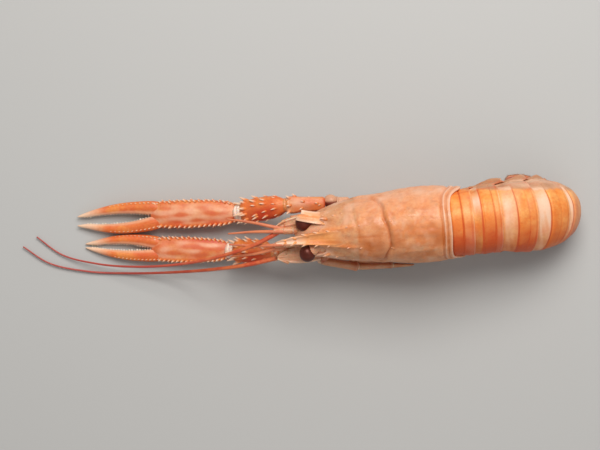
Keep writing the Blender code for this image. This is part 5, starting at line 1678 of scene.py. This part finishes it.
def walking_leg(skin, fringe, joints, pincer, painted_shade, stoutness):
    """A slender leg of five hard segments with bristles towards its tip, and a small pincer if asked for."""
    hip, knee, ankle, tip = (np.array(p, float) for p in joints)
    thigh = hip + (knee - hip) * 0.26
    wrist = ankle + (tip - ankle) * 0.62
    sizes = [LEG_RADIUS * share for share in LEG_TAPER]
    sizes[4:] = [size * stoutness for size in sizes[4:]]
    limb(skin, [hip, thigh, knee, ankle, wrist, tip], list(zip(sizes[::2], sizes[1::2])), 0.85, 0.02, painted_shade)
    ahead = unit(tip - wrist)
    aside = unit(np.cross(ahead, (0, 0, 1)))
    if pincer:
        skin.thorn(wrist - ahead * 1.2 + aside * 0.5, tip - ahead * 0.5 + aside * 0.45, 0.46, 10, 0.8)
    shares = chance.uniform(0.05, 0.95, LEG_BRISTLES)
    around = chance.uniform(0, 2 * math.pi, LEG_BRISTLES)
    on_tip = np.arange(LEG_BRISTLES) % 2 == 0
    by_tip, by_wrist = wrist + np.outer(shares, tip - wrist), ankle + np.outer(shares, wrist - ankle)
    side, up = across(ahead)
    out = np.outer(np.cos(around), side) + np.outer(np.sin(around), up)
    thick = np.where(on_tip, 0.55 - 0.4 * shares, 1.1 - 0.25 * shares)
    roots = np.where(on_tip[:, None], by_tip, by_wrist) + out * thick[:, None]
    roots[:, 2] = np.maximum(roots[:, 2], 0.3)
    fringe.hairs(roots, roots + out * 0.5 + ahead * 0.7, 0.045)


def walking_legs(materials):
    """Four pairs, the first two with pincers. The first left leg is stouter, and has a painted shadow in dark
    red along the side that faces the body."""
    # Painted shadow: the first left leg is made dark red on the side that faces the body, where the body
    # shades it.
    painted_shadow_inside = 0.05 + 0.6 * ramp(-np.cos(np.arange(BONE_SIDES) * 2 * math.pi / BONE_SIDES), -0.1, 0.5)
    for name, legs in (("right", RIGHT_LEGS), ("left", LEFT_LEGS)):
        skin, fringe = Skin(), Skin()
        for i, joints in enumerate(legs):
            first_left = name == "left" and i == 0
            painted_shade, stoutness = (painted_shadow_inside, FIRST_LEFT_LEG_STOUTNESS) if first_left else (0.0, 1.0)
            walking_leg(skin, fringe, joints, i < 2, painted_shade, stoutness)
        skin.piece(f"{name}_walking_legs", materials["leg"], "leg_shell")
        fringe.piece(f"{name}_leg_bristles", materials["bristle"], "leg_shell")


# ---------------------------------------------------------------- stage


def stage():
    """A plain pale floor, a large soft light from the animal's right and above, and a weak one opposite."""
    bpy.ops.mesh.primitive_plane_add(size=3.0, location=(0, 0, -0.0002))
    floor = bpy.context.object
    floor.name = "floor"
    paint = bpy.data.materials.new("floor_paint")
    paint.use_nodes = True
    coat = paint.node_tree.nodes["Principled BSDF"]
    coat.inputs["Base Color"].default_value = FLOOR_COLOUR
    coat.inputs["Roughness"].default_value = FLOOR_ROUGHNESS
    floor.data.materials.append(paint)
    world = bpy.data.worlds.new("studio")
    world.use_nodes = True
    sky = world.node_tree.nodes["Background"]
    sky.inputs["Color"].default_value = SKY_COLOUR
    sky.inputs["Strength"].default_value = SKY_STRENGTH
    bpy.context.scene.world = world
    for name, place, size, power in LAMPS:
        lamp = bpy.data.lights.new(name, "AREA")
        lamp.size = size
        lamp.energy = power
        holder = bpy.data.objects.new(name, lamp)
        holder.location = place
        tilt = math.acos(-place[2] / np.linalg.norm(place)) + math.pi
        turn = math.atan2(-place[1], -place[0]) + math.pi / 2
        holder.rotation_euler = (tilt, 0, turn)
        bpy.context.scene.collection.objects.link(holder)
    bpy.context.view_layer.update()


def camera():
    """Straight above, with the tail to the right, as in the photograph."""
    made = bpy.data.cameras.new("camera")
    made.lens = CAMERA_LENS
    made.sensor_width = 36
    holder = bpy.data.objects.new("camera", made)
    holder.location = (0, 0, CAMERA_HEIGHT)
    bpy.context.scene.collection.objects.link(holder)
    bpy.context.scene.camera = holder
    bpy.context.scene.view_settings.view_transform = "Standard"


def main():
    """The whole animal, on its stage."""
    materials = make_materials()
    carapace(materials)
    rostrum(materials)
    head_block(materials)
    brow_plate(materials)
    eyes(materials)
    scale_leaves(materials)
    feelers(materials)
    jaw_legs(materials)
    breastplate(materials)
    tail_rings(materials)
    tail_flesh(materials)
    tail_fan(materials)
    swimmerets(materials)
    claws(materials)
    walking_legs(materials)
    stage()
    camera()


main()
bpy.context.view_layer.update()
